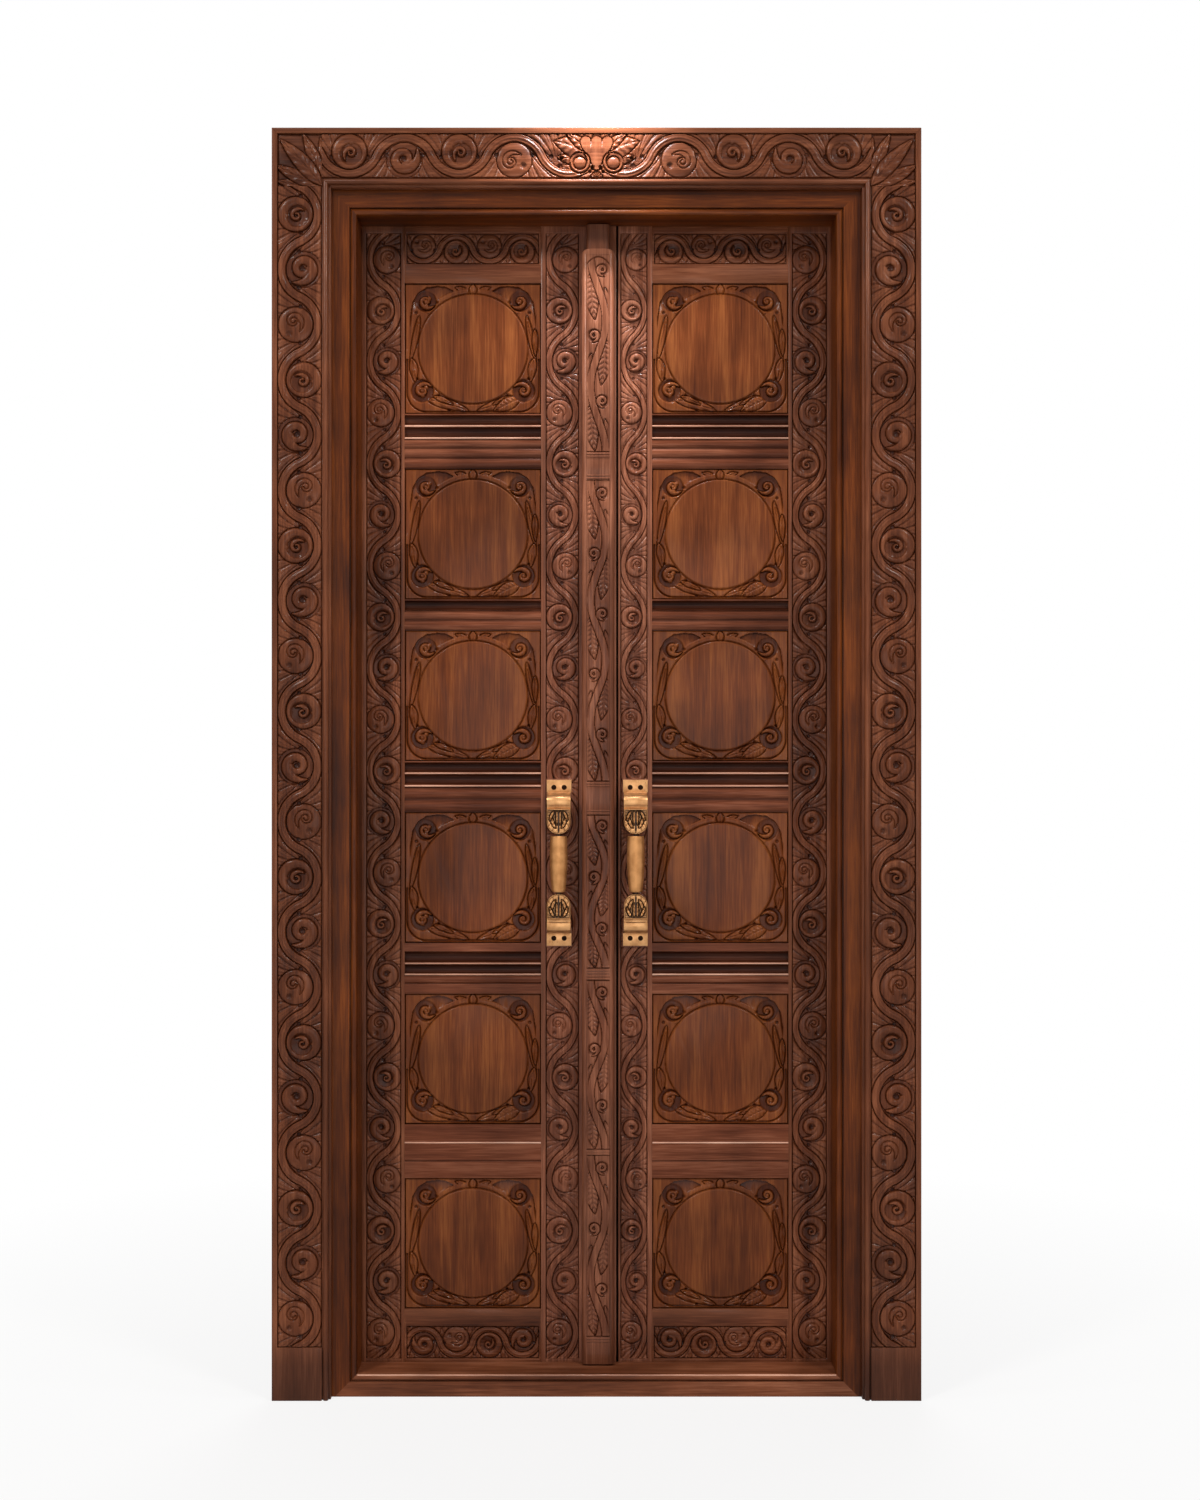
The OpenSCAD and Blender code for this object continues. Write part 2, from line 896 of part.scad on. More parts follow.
module centre_bar() {
    bar_x = bar_left + bar_w / 2;
    bar_h = bar_top - bar_bottom;
    front = leaf_front - bar_d;
    color(wood_leaf) {
        difference() {
            union() {
                translate([bar_x, 0, bar_bottom])
                    linear_extrude(bar_h - bar_neck_h)
                        bar_section(bar_w);
                translate([bar_x, 0, bar_top - bar_neck_h])
                    linear_extrude(bar_neck_h)
                        bar_section(bar_neck_w);
            }
            for (span = bar_breaks)
                on_face(front)
                    upright_ground(bar_x, bar_bottom + span[0] * bar_h, (span[1] - span[0]) * bar_h,
                        bar_band);
        }
        for (span = bar_breaks)
            on_face(front)
                upright_vine(bar_x, bar_bottom + span[0] * bar_h, (span[1] - span[0]) * bar_h,
                    bar_band, bar_scroll, true);
    }
}

// Children drawn downward from the top of the upper foot, and again mirrored for the lower one
module handle_places(x) {
    for (side = [-1, 1])
        handle_place(x, side)
            children();
}

module handle_place(x, side) {
    on_face(leaf_front)
        translate([x, handle_z + side * handle_h / 2, 0])
            mirror([0, side > 0 ? 0 : 1, 0])
                children();
}

// Bracket of a handle: a screwed foot, a strap that slopes out to a band, and the round-ended cap
// that carries the grip
module handle_bracket() {
    cap_back = grip_off - cap_t / 2;
    difference() {
        union() {
            translate([-foot_w / 2, -foot_h, 0])
                cube([foot_w, foot_h, foot_t]);
            rotate([0, -90, 0])
                linear_extrude(strap_w, center = true)
                    polygon([
                        [0, 0],
                        [foot_t, 0],
                        [foot_t, -foot_h],
                        [band_off, -foot_h - slope_h],
                        [band_off, -neck_low + neck_h],
                        [band_off - neck_set, -neck_low + neck_h],
                        [band_off - neck_set, -neck_low - 2],
                        [cap_back, -neck_low - 2],
                        [0, -foot_back]
                    ]);
            translate([0, 0, cap_back])
                linear_extrude(cap_t)
                    handle_cap();
        }
        for (side = [-1, 1])
            translate([side * screw_x, -screw_y, -1]) {
                cylinder(r = screw_r + screw_room, h = foot_t + 2);
                translate([0, 0, 1 + foot_t - screw_head_h])
                    cylinder(r = screw_head_r + screw_room, h = screw_head_h + 1);
            }
        translate([0, -cap_end - 1, grip_off])
            rotate([-90, 0, 0])
                cylinder(r = grip_pin_r + screw_room, h = grip_pin_l + 2);
    }
}

// Outline of the cap: a plate with a half-round end towards the grip
module handle_cap() {
    r = strap_w / 2;
    translate([-r, -cap_end + r])
        square([strap_w, cap_end - r - neck_low]);
    translate([0, -cap_end + r])
        circle(r);
}

// Turned grip, thickest at its middle, with a pin for each cap
module handle_grip(x) {
    belly = grip_d / 2;
    r = arc_r(grip_l, belly - grip_end_r);
    translate([x, leaf_front - grip_off, handle_z]) {
        rotate_extrude()
            intersection() {
                translate([0, -grip_l / 2])
                    square([belly, grip_l]);
                translate([belly - r, 0])
                    circle(r, $fn = 1440);
            }
        cylinder(r = grip_pin_r, h = grip_l + 2 * (grip_gap + grip_pin_l), center = true);
    }
}

// The four screws of a handle
module handle_screws(x) {
    handle_places(x)
        for (side = [-1, 1])
            translate([side * screw_x, -screw_y, foot_t - screw_head_h]) {
                cylinder(r = screw_head_r, h = screw_head_h - 0.2);
                translate([0, 0, -screw_l])
                    cylinder(r = screw_r, h = screw_l + 0.5);
            }
}

module left_handle_upper_bracket() {
    color(brass)
        handle_place(handle_xs[0], 1)
            handle_bracket();
}

module left_handle_lower_bracket() {
    color(brass)
        handle_place(handle_xs[0], -1)
            handle_bracket();
}

module left_handle_grip() {
    color(brass)
        handle_grip(handle_xs[0]);
}

module left_handle_screws() {
    color(old_brass)
        handle_screws(handle_xs[0]);
}

module right_handle_upper_bracket() {
    color(brass)
        handle_place(handle_xs[1], 1)
            handle_bracket();
}

module right_handle_lower_bracket() {
    color(brass)
        handle_place(handle_xs[1], -1)
            handle_bracket();
}

module right_handle_grip() {
    color(brass)
        handle_grip(handle_xs[1]);
}

module right_handle_screws() {
    color(old_brass)
        handle_screws(handle_xs[1]);
}

// Bed let into an edge between two lines for a hinge flap
module flap_bed(x, z) {
    block(x, [leaf_back - flap_d - fit, leaf_back + 1], [z - hinge_h / 2 - fit, z + hinge_h / 2 + fit]);
}

// Heights of the screws of one hinge flap
function flap_screw_zs(z) = [z - flap_screw_pitch, z, z + flap_screw_pitch];

// Screw holes behind a hinge flap whose face is at x, going towards dir
module flap_screw_hole(x, z, dir) {
    for (sz = flap_screw_zs(z))
        translate([x, flap_screw_y, sz])
            rotate([0, 90 * dir, 0])
                cylinder(r = flap_screw_r + screw_room, h = flap_screw_l + 1);
}

// Screws of a hinge flap whose face is at x, going towards dir
module flap_screws(x, z, dir) {
    for (sz = flap_screw_zs(z))
        translate([x, flap_screw_y, sz])
            rotate([0, 90 * dir, 0]) {
                translate([0, 0, 0.1])
                    cylinder(r = flap_screw_head_r, h = flap_screw_head_h - 0.1);
                translate([0, 0, 0.5])
                    cylinder(r = flap_screw_r, h = flap_screw_l - 0.5);
            }
}

// One flap of a butt hinge with its knuckles: the outer flap has the odd ones
module hinge_flap(plate_x, face_x, z, dir, first) {
    difference() {
        union() {
            block([plate_x, plate_x + flap_t], [leaf_back - flap_d, flap_back],
                [z - hinge_h / 2, z + hinge_h / 2]);
            for (k = [first:2:knuckles - 1]) {
                low = z - hinge_h / 2 + k * (knuckle_h + knuckle_gap);
                block([plate_x, plate_x + flap_t], [flap_back - 1, hinge_axis_y], [low, low + knuckle_h]);
                translate([-hinge_axis_x, hinge_axis_y, low])
                    cylinder(r = knuckle_r, h = knuckle_h);
            }
        }
        translate([-hinge_axis_x, hinge_axis_y, z - hinge_h])
            cylinder(r = pin_r + pin_room, h = 2 * hinge_h);
        for (sz = flap_screw_zs(z))
            translate([face_x, flap_screw_y, sz])
                rotate([0, 90 * dir, 0]) {
                    translate([0, 0, -1])
                        cylinder(r = flap_screw_head_r + screw_room, h = flap_screw_head_h + 1);
                    cylinder(r = flap_screw_r + screw_room, h = flap_t + 1);
                }
    }
}

module jamb_flaps() {
    for (z = hinge_zs)
        hinge_flap(-leaf_edge - edge_gap - flap_t, -leaf_edge - edge_gap, z, -1, 0);
}

module leaf_flaps() {
    for (z = hinge_zs)
        hinge_flap(-leaf_edge, -leaf_edge, z, 1, 1);
}

// Loose pins, each hung by its head on the top knuckle
module hinge_pins() {
    for (z = hinge_zs)
        translate([-hinge_axis_x, hinge_axis_y, 0]) {
            translate([0, 0, z - hinge_h / 2 - 1])
                cylinder(r = pin_r, h = hinge_h + 2);
            translate([0, 0, z + hinge_h / 2])
                cylinder(r = pin_head_r, h = pin_head_h);
        }
}

module left_hinge_jamb_flaps() {
    color(old_brass)
        jamb_flaps();
}

module right_hinge_jamb_flaps() {
    color(old_brass)
        right_hand()
            jamb_flaps();
}

module left_hinge_leaf_flaps() {
    color(old_brass)
        leaf_flaps();
}

module right_hinge_leaf_flaps() {
    color(old_brass)
        right_hand()
            leaf_flaps();
}

module left_hinge_pins() {
    color(old_brass)
        hinge_pins();
}

module right_hinge_pins() {
    color(old_brass)
        right_hand()
            hinge_pins();
}

module jamb_hinge_screws() {
    color(old_brass)
        for (z = hinge_zs)
            flap_screws(-leaf_edge - edge_gap, z, -1);
}

module leaf_hinge_screws() {
    color(old_brass)
        for (z = hinge_zs)
            flap_screws(-leaf_edge, z, 1);
}

left_jamb();
right_jamb();
head_jamb();
sill();
left_casing();
right_casing();
head_casing();
left_hinge_jamb_flaps();
right_hinge_jamb_flaps();
left_hinge_pins();
right_hinge_pins();
jamb_hinge_screws();  // left_jamb_hinge_screws
right_hand() jamb_hinge_screws();  // right_jamb_hinge_screws
left_hinge_stile();
left_meeting_stile();
left_top_rail();
left_bottom_rail();
left_rail(0);  // left_rail_1
left_rail(1);  // left_rail_2
left_rail(2);  // left_rail_3
left_rail(3);  // left_rail_4
left_rail(4);  // left_rail_5
left_panel(0);  // left_panel_1
left_panel(1);  // left_panel_2
left_panel(2);  // left_panel_3
left_panel(3);  // left_panel_4
left_panel(4);  // left_panel_5
left_panel(5);  // left_panel_6
centre_bar();
left_handle_upper_bracket();
left_handle_lower_bracket();
left_handle_grip();
left_handle_screws();
left_hinge_leaf_flaps();
leaf_hinge_screws();  // left_leaf_hinge_screws
right_hinge_stile();
right_meeting_stile();
right_top_rail();
right_bottom_rail();
right_rail(0);  // right_rail_1
right_rail(1);  // right_rail_2
right_rail(2);  // right_rail_3
right_rail(3);  // right_rail_4
right_rail(4);  // right_rail_5
right_panel(0);  // right_panel_1
right_panel(1);  // right_panel_2
right_panel(2);  // right_panel_3
right_panel(3);  // right_panel_4
right_panel(4);  // right_panel_5
right_panel(5);  // right_panel_6
right_handle_upper_bracket();
right_handle_lower_bracket();
right_handle_grip();
right_handle_screws();
right_hinge_leaf_flaps();
right_hand() leaf_hinge_screws();  // right_leaf_hinge_screws
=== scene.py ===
"""Looks of the carved temple door: carved boards, medallion panels, brass pulls, light and camera."""

import json
import math

import bmesh
import bpy
import numpy as np
from mathutils import Matrix, Vector

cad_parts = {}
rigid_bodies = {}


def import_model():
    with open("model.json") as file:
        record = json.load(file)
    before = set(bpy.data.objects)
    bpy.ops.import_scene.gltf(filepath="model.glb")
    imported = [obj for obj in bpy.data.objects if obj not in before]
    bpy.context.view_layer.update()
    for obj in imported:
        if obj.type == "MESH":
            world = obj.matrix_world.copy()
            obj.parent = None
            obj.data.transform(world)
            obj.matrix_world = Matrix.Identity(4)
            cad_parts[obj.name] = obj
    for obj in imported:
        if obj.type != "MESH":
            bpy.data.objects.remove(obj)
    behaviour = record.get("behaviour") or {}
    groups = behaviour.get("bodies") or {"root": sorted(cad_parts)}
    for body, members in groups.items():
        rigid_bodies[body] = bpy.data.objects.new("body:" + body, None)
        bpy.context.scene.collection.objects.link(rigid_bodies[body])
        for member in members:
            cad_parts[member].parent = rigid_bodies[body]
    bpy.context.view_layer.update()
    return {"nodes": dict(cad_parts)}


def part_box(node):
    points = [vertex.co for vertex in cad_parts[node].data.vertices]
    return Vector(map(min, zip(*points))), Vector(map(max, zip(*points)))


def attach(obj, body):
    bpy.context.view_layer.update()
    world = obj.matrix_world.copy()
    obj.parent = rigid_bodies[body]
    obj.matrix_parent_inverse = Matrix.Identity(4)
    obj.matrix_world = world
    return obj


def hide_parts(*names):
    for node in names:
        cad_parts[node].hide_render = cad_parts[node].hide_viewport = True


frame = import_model()
scene = bpy.context.scene
MM = 0.001

# Sizes of the door in millimetres
CASING_FRONT = -35.0
CASING_IN = 501.0
CASING_OUT = 611.0
CASING_IN_Z = 2285.0
CASING_TOP = 2395.0
CASING_FOOT = 100.0
CASING_BAND = 84.0
CASING_BAND_IN = 16.0
CASING_FILLET = 10.0
CASING_GROUND = 8.2
LEAF_FRONT = 70.0
LEAF_BACK = 110.0
LEAF_LOW = 32.0
LEAF_HIGH = 2248.0
LEAF_EDGE = 464.0
PANEL_IN = 107.5
PANEL_OUT = 371.5
BAND_LOW = 47.0
BAND_HIGH = 2225.0
STILE_GROUND = 6.6
PANEL_W = 263.0
PANEL_H = 252.0
PANEL_FRONT = 72.0
PANEL_DEPTH = 7.0
DISC_R = 106.5
HANDLE_Z = 1007.0
HANDLE_H = 321.0
HINGE_HEIGHTS = (272.0, 1140.0, 2008.0)
PULL_X = {"left": -72.5, "right": 75.0}
PAD_HALF = 24.6
LEFT_EDGE = 38.0
RIGHT_EDGE = 42.0
HINGE_BAND = (-412.0, 68.0)
LEFT_BAND = (-66.25, 64.5)
RIGHT_BAND = (72.25, 52.5)
STILE_BENDS = 22
SIDE_BENDS = 21
HEAD_KINDS = (None, 0, 2, 1, 2)
PANEL_ROWS = 6
TONGUE = 12.5
TONGUE_Y = (84.2, 95.8)
STRIP_Y = (105.0, 109.5)
STRIP_GAP = 0.15
STRIP_OVER = 2.5
# Depths between which the coves of the rails get painted shade
RAIL_COVE_SHADE = (70.7, 74.5)
# Height of the casing's foot, below which the casing gets painted shade
FOOT_SHADE_LINE = 94.0
# Pale beads along the rail fillets and the sill's edge, as painted highlights: radius, heights and sill span
BEAD_R = 1.7
BEAD_HEIGHTS = (1852.0, 1828.6, 1180.1, 1155.6, 812.1, 790.7, 465.2)
SILL_BEAD = ((-454.0, 454.0), -7.4, 39.8)

# Carving: how far apart its points lie, how far it stays inside its sunk ground, the width over which it
# falls off at its rim, the kinds of roundel, and the bends that a run repeats
GRID = 1.1
PANEL_GRID = 1.15
SLACK = 0.3
FALL = 1.5
KINDS = 3
TILES = 6


# Carver's shapes: each gives the height above the ground over s along the run and t across it


def unit(q):
    """Holds values between 0 and 1."""
    return np.clip(q, 0.0, 1.0)


def bulge(q):
    """Round profile of unit height over q from -1 to 1."""
    return np.sqrt(unit(1.0 - q * q))


def laid(tall, form, out, groove=0.75, wide=1.7):
    """Lays a form over what is there, with a groove round it; out is the distance outside its edge."""
    return np.where(out < 0.0, form, tall * (1.0 - groove * np.exp(-((out / wide) ** 2))))


def berry(s, t, at, r, height):
    away = ((s - at[0]) ** 2 + (t - at[1]) ** 2) / (r * r)
    return height * np.sqrt(unit(1.0 - away))


def leaf(s, t, base, tip, width, bend=0.0, ribs=4, cut=0.09):
    """Pointed leaf with a vein and ribs, bent to one side: its height and the distance outside its edge."""
    run, rise = tip[0] - base[0], tip[1] - base[1]
    length = math.hypot(run, rise)
    c, n = run / length, rise / length
    u = ((s - base[0]) * c + (t - base[1]) * n) / length
    v = (t - base[1]) * c - (s - base[0]) * n - bend * length * (u * u - u)
    inside = unit(u)
    half = 0.5 * width * np.sin(math.pi * inside**0.8) ** 0.8 + 0.01
    q = np.abs(v) / half
    vein = 0.22 * np.exp(-((v / (0.06 * width)) ** 2))
    rib = cut * np.cos(2.0 * math.pi * (ribs * inside - 0.8 * q)) * (q > 0.12)
    beyond = np.maximum(np.abs(u - 0.5) - 0.5, 0.0) * length
    out = np.where(beyond > 0.0, np.hypot(beyond, v), np.abs(v) - half)
    return np.clip(0.45 + 0.5 * bulge(q) - vein + rib, 0.02, 1.0), out


def with_leaf(tall, s, t, depth, *form, groove=0.7):
    high, out = leaf(s, t, *form)
    return laid(tall, depth * high, out, groove)


def snail(s, t, at, rim, hand, start, turns=1.3, decay=0.16, fat=0.46):
    """Fat scroll that winds in from its rim: its height from 0 to 1, and the distance outside its edge."""
    away = np.hypot(s - at[0], t - at[1])
    turn = np.mod(hand * (np.arctan2(t - at[1], s - at[0]) - math.radians(start)), 2.0 * math.pi)
    shape = np.zeros_like(away)
    out = np.full_like(away, 1e3)
    for lap in range(int(math.ceil(turns))):
        wound = turn + 2.0 * math.pi * lap
        edge = rim * np.exp(-decay * wound)
        half = fat / (1.0 + fat) * edge * np.clip(wound / 1.3, 0.02, 1.0) ** 0.7
        there = wound < 2.0 * math.pi * turns
        off = away - edge + half
        shape = np.where(there, np.maximum(shape, bulge(off / half)), shape)
        out = np.where(there, np.minimum(out, np.abs(off) - half), out)
    return shape, out


def pit(s, t, at, r, depth):
    return depth * np.exp(-((((s - at[0]) ** 2 + (t - at[1]) ** 2) / (r * r)) ** 2))


def stem_line(s, t, pitch, rise):
    """Distance from the middle line of a winding stem over one bend, and where the stem runs above."""
    mid = 0.5 * pitch
    r = (mid * mid + rise * rise) / (2.0 * rise)
    reach = math.asin(min(1.0, mid / r))
    away = np.full_like(s, 1e3)
    for step, side in ((0.0, 1.0), (-pitch, -1.0), (pitch, -1.0)):
        off_s, off_t = s - step - mid, side * t - (rise - r)
        on = np.abs(np.arctan2(off_s, off_t)) <= reach
        away = np.where(on, np.minimum(away, np.abs(np.hypot(off_s, off_t) - r)), away)
    return away, np.hypot(s - mid, t - (rise - r)) < r


def feathers(s, t, root, hand, depth, step=17.0):
    """Overlapping feather leaves that spread from a root and bow to one hand."""
    away = np.hypot(s - root[0], t - root[1])
    turn = np.degrees(np.arctan2(t - root[1], s - root[0])) + hand * 0.16 * away
    part = np.mod(turn, step) / step
    vein = 0.1 * np.exp(-(((part - 0.45) / 0.06) ** 2))
    return depth * (0.32 + 0.46 * bulge(2.0 * part - 1.0) ** 0.8 - vein) * np.clip(away / 30.0, 0.5, 1.0)


def roundel(tall, s, t, at, rim, kind, depth):
    """Roundel in the bow of the stem: 0 dome with a curl cut in, 1 snail, 2 cup with a curl and a ball."""
    u, v = (s - at[0]) / rim, (t - at[1]) / rim
    away = np.hypot(u, v)
    out = (away - 1.0) * rim
    if kind == 0:
        tall = laid(tall, depth * (0.4 + 0.56 * bulge(away) ** 0.8), out, 0.7)
        _, edge = snail(u, v, (0.2, -0.12), 0.72, -1.0, 150.0, turns=1.2, fat=0.4)
        tall = tall * (1.0 - 0.4 * np.exp(-((edge * rim / 1.4) ** 2)))
        return tall - pit(u, v, (-0.52, -0.34), 0.16, 0.5 * depth)
    if kind == 1:
        tall = laid(tall, 0.42 * depth, out, 0.6)
        core = (at[0] + 0.06 * rim, at[1] + 0.05 * rim)
        high, edge = snail(s, t, core, 1.04 * rim, 1.0, 140.0, 1.4, 0.1, 0.5)
        tall = laid(tall, depth * (0.42 + 0.58 * high), edge, 0.6)
        return tall - pit(u, v, (0.07, 0.06), 0.13, 0.5 * depth)
    turn = 0.5 + 0.5 * np.cos(np.arctan2(v, u) + 0.9)
    wall = 0.12 + 0.16 * turn
    band = depth * (0.44 + 0.52 * bulge((away - 1.0 + wall) / wall))
    cup = depth * (0.3 + 0.3 * unit(away) ** 2)
    tall = laid(tall, np.where(away > 1.0 - 2.0 * wall, band, cup), out, 0.7)
    high, edge = snail(u, v, (-0.08, 0.06), 0.56, -1.0, 60.0)
    tall = laid(tall, depth * (0.4 + 0.56 * high), edge * rim, 0.4)
    return np.maximum(tall, berry(u, v, (-0.1, -0.56), 0.17, 0.85 * depth))


def bend_of_vine(s, t, pitch, width, depth, kind, stem=0.09):
    """One bend of a vine from s 0 to pitch: the stem bows up, and a roundel lies below it."""
    half = stem * width
    rise = 0.5 * width - half - 0.5
    away, below = stem_line(s, t, pitch, rise)
    right = s > 0.5 * pitch
    tall = np.zeros_like(s)
    in_s, in_t = 0.26 * pitch, 0.17 * width
    for end, low, at, hand in ((0, True, (in_s, in_t), 1.0), (1, True, (pitch - in_s, in_t), -1.0),
                               (0, False, (-in_s, -in_t), 1.0), (1, False, (pitch + in_s, -in_t), -1.0)):
        here = (right == bool(end)) & (below == low)
        tall = np.where(here, feathers(s, t, at, hand, depth), tall)
    reed = 0.08 * np.cos(7.5 * unit(away / half))
    tall = laid(tall, depth * (0.52 + 0.4 * bulge(away / half) + reed), away - half)
    room = rise - half + 0.5 * width
    rim = min(0.485 * room, 0.42 * pitch)
    if kind is not None:
        tall = roundel(tall, s, t, (0.5 * pitch, -0.5 * width + 0.5 * room), rim, kind, depth)
    for x in (0.17, 0.83):
        tall = tall - pit(s, t, (x * pitch, 0.02 * width), 0.045 * width, 0.6 * depth) * (tall < 0.7 * depth)
    return np.clip(tall, 0.0, depth)


def grid_over(s_ends, t_ends, step=GRID, inset=0.0):
    """Grid of points over two spans, with its rim inset from their ends."""
    rows = [np.linspace(low + inset, high - inset, int(round((high - low) / step)) + 1)
            for low, high in (s_ends, t_ends)]
    return np.meshgrid(*rows, indexing="ij")


def vine_tile(pitch, width, depth, kind, up):
    """Heights of one bend on a grid."""
    s, t = grid_over((0.0, pitch), (-width / 2, width / 2))
    tall = bend_of_vine(s, t if up else -t, pitch, width, depth, kind)
    return s, t, tall * unit((width / 2 - np.abs(t)) / FALL)


def vine(s, t, pitch, width, depth, kinds, first_up=True):
    """Heights of several bends in a row from s 0, for a run that is drawn as one field."""
    tall = np.zeros_like(s)
    for i, kind in enumerate(kinds):
        at = s - i * pitch
        up = first_up == (i % 2 == 0)
        bend = bend_of_vine(at, t if up else -t, pitch, width, depth, kind)
        tall = np.where((at >= 0.0) & (at <= pitch), bend, tall)
    return tall


# Meshes


def grid_mesh(name, x, y, z, flip):
    """Open sheet over a grid of points in millimetres."""
    rows, cols = x.shape
    points = np.stack([x, y, z], -1).reshape(-1, 3) * MM
    i = np.arange(rows * cols).reshape(rows, cols)
    a, b, c, d = i[:-1, :-1], i[1:, :-1], i[1:, 1:], i[:-1, 1:]
    quads = np.stack([a, d, c, b] if flip else [a, b, c, d], -1).reshape(-1, 4)
    mesh = bpy.data.meshes.new(name)
    mesh.vertices.add(len(points))
    mesh.vertices.foreach_set("co", points.ravel().astype(np.float32))
    mesh.loops.add(quads.size)
    mesh.loops.foreach_set("vertex_index", quads.ravel().astype(np.int32))
    mesh.polygons.add(len(quads))
    mesh.polygons.foreach_set("loop_start", np.arange(0, quads.size, 4, dtype=np.int32))
    mesh.update(calc_edges=True)
    mesh.validate()
    return mesh


def linked(mesh, name):
    obj = bpy.data.objects.new(name, mesh)
    scene.collection.objects.link(obj)
    return obj


def applied(obj, name):
    """Plain mesh of an object with its modifiers, and the object taken away."""
    bpy.context.view_layer.update()
    shown = obj.evaluated_get(bpy.context.evaluated_depsgraph_get())
    mesh = bpy.data.meshes.new_from_object(shown)
    mesh.name = name
    bpy.data.objects.remove(obj)
    return mesh


def thinned(mesh, name, keep):
    obj = linked(mesh, name)
    thin = obj.modifiers.new("thin", "DECIMATE")
    thin.ratio = keep
    return applied(obj, name)


def closed(bm, mesh):
    """Writes a bmesh to a mesh, with its faces turned outward."""
    bmesh.ops.recalc_face_normals(bm, faces=bm.faces)
    bm.to_mesh(mesh)
    bm.free()
    return mesh


def backed(mesh, back):
    """Gives an open sheet that looks to the front sides down to the plane back, and a flat back."""
    bm = bmesh.new()
    bm.from_mesh(mesh)
    rim = [e for e in bm.edges if e.is_boundary]
    drawn = bmesh.ops.extrude_edge_only(bm, edges=rim)["geom"]
    for v in drawn:
        if isinstance(v, bmesh.types.BMVert):
            v.co.y = back * MM
    loop = [e for e in drawn if isinstance(e, bmesh.types.BMEdge) and e.is_boundary]
    bmesh.ops.edgeloop_fill(bm, edges=loop)
    return closed(bm, mesh)


def points_on(mesh, axis):
    """Places of a mesh's points on one axis, in millimetres."""
    points = np.empty(len(mesh.vertices) * 3, np.float32)
    mesh.vertices.foreach_get("co", points)
    return points[axis::3] / MM


def marked(mesh, share):
    """Keeps on each point how much painted shade its hollow gets."""
    mark = mesh.attributes.new("hollow", "FLOAT", "POINT")
    mark.data.foreach_set("value", share.astype(np.float32))
    return mesh


def mark_hollows(mesh, face, depth):
    """Marks each point by how far it lies below the face, as a share of the carving's depth; the mark sets
    the painted shade in its hollows.
    """
    return marked(mesh, unit((points_on(mesh, 1) - face) / depth))


def boxes(name, spans):
    bm = bmesh.new()
    for x, y, z in spans:
        corners = [bm.verts.new((a * MM, b * MM, c * MM)) for c in z for b in y for a in x]
        for face in ((0, 1, 5, 4), (2, 6, 7, 3), (0, 4, 6, 2), (1, 3, 7, 5), (0, 2, 3, 1), (4, 5, 7, 6)):
            bm.faces.new([corners[i] for i in face])
    return closed(bm, bpy.data.meshes.new(name))


def cut_and_eased(mesh, name, cuts, ease):
    """Board less its cuts, with eased arrises."""
    obj = linked(mesh, name)
    cutter = None
    if cuts is not None:
        cutter = linked(cuts, name + "_cut")
        less = obj.modifiers.new("less", "BOOLEAN")
        less.operation = "DIFFERENCE"
        less.solver = "EXACT"
        less.object = cutter
    soft = obj.modifiers.new("ease", "BEVEL")
    soft.width = ease * MM
    soft.segments = 2
    soft.limit_method = "ANGLE"
    soft.angle_limit = math.radians(40)
    mesh = applied(obj, name)
    if cutter is not None:
        bpy.data.objects.remove(cutter)
    return mesh


def prism(name, outline, span, place):
    """Closed prism of an outline between two ends of a span; place gives the point in millimetres."""
    bm = bmesh.new()
    ends = [[bm.verts.new(Vector(place(p, w)) * MM) for p in outline] for w in span]
    count = len(outline)
    for i in range(count):
        k = (i + 1) % count
        bm.faces.new((ends[0][i], ends[0][k], ends[1][k], ends[1][i]))
    bm.faces.new(ends[0])
    bm.faces.new(ends[1])
    return closed(bm, bpy.data.meshes.new(name))


def mirrored(mesh, name):
    """Copy of a mesh for the right side of the door."""
    copy = mesh.copy()
    copy.name = name
    bm = bmesh.new()
    bm.from_mesh(copy)
    for v in bm.verts:
        v.co.x = -v.co.x
    bmesh.ops.reverse_faces(bm, faces=bm.faces)
    bm.to_mesh(copy)
    bm.free()
    return copy


def moved(mesh, name, x, z):
    copy = mesh.copy()
    copy.name = name
    copy.transform(Matrix.Translation((x * MM, 0.0, z * MM)))
    return copy


def piece(name, meshes, finish, body, slot, *nodes, sharp=42.0):
    """Finished piece from one or more meshes, smooth but for its sharp edges."""
    parts = [linked(mesh, name if i == 0 else name + "_part") for i, mesh in enumerate(meshes)]
    if len(parts) > 1:
        with bpy.context.temp_override(active_object=parts[0], selected_editable_objects=parts):
            bpy.ops.object.join()
    obj, mesh = parts[0], parts[0].data
    mesh.name = name
    mesh.polygons.foreach_set("use_smooth", np.ones(len(mesh.polygons), bool))
    mesh.set_sharp_from_angle(angle=math.radians(sharp))
    mesh.materials.clear()
    mesh.materials.append(finish)
    mesh.polygons.foreach_set("material_index", np.zeros(len(mesh.polygons), np.int32))
    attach(obj, body)
    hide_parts(*nodes)


def both_hands(name, meshes, finish, body, slot, *nodes):
    """The piece as drawn for the left and mirrored for the right, where {} stands for the hand."""
    copies = [mirrored(mesh, mesh.name + "_right") for mesh in meshes]
    for hand, parts in (("right", copies), ("left", meshes)):
        piece(f"{name}_{hand}", parts, finish, body.format(hand), slot, *[n.format(hand) for n in nodes])


# Finishes


def rgb(r, g, b):
    """Linear colour from the usual 0 to 255 numbers."""

    def line(c):
        c /= 255.0
        return c / 12.92 if c <= 0.04045 else ((c + 0.055) / 1.055) ** 2.4

    return (line(r), line(g), line(b), 1.0)


def add_node(tree, kind, links=None, **values):
    """New node with its settings, and with its inputs joined to sockets or set to constants."""
    node = tree.nodes.new(kind)
    for key, value in values.items():
        setattr(node, key, value)
    for key, value in (links or {}).items():
        if isinstance(value, bpy.types.NodeSocket):
            tree.links.new(value, node.inputs[key])
        else:
            node.inputs[key].default_value = value
    return node


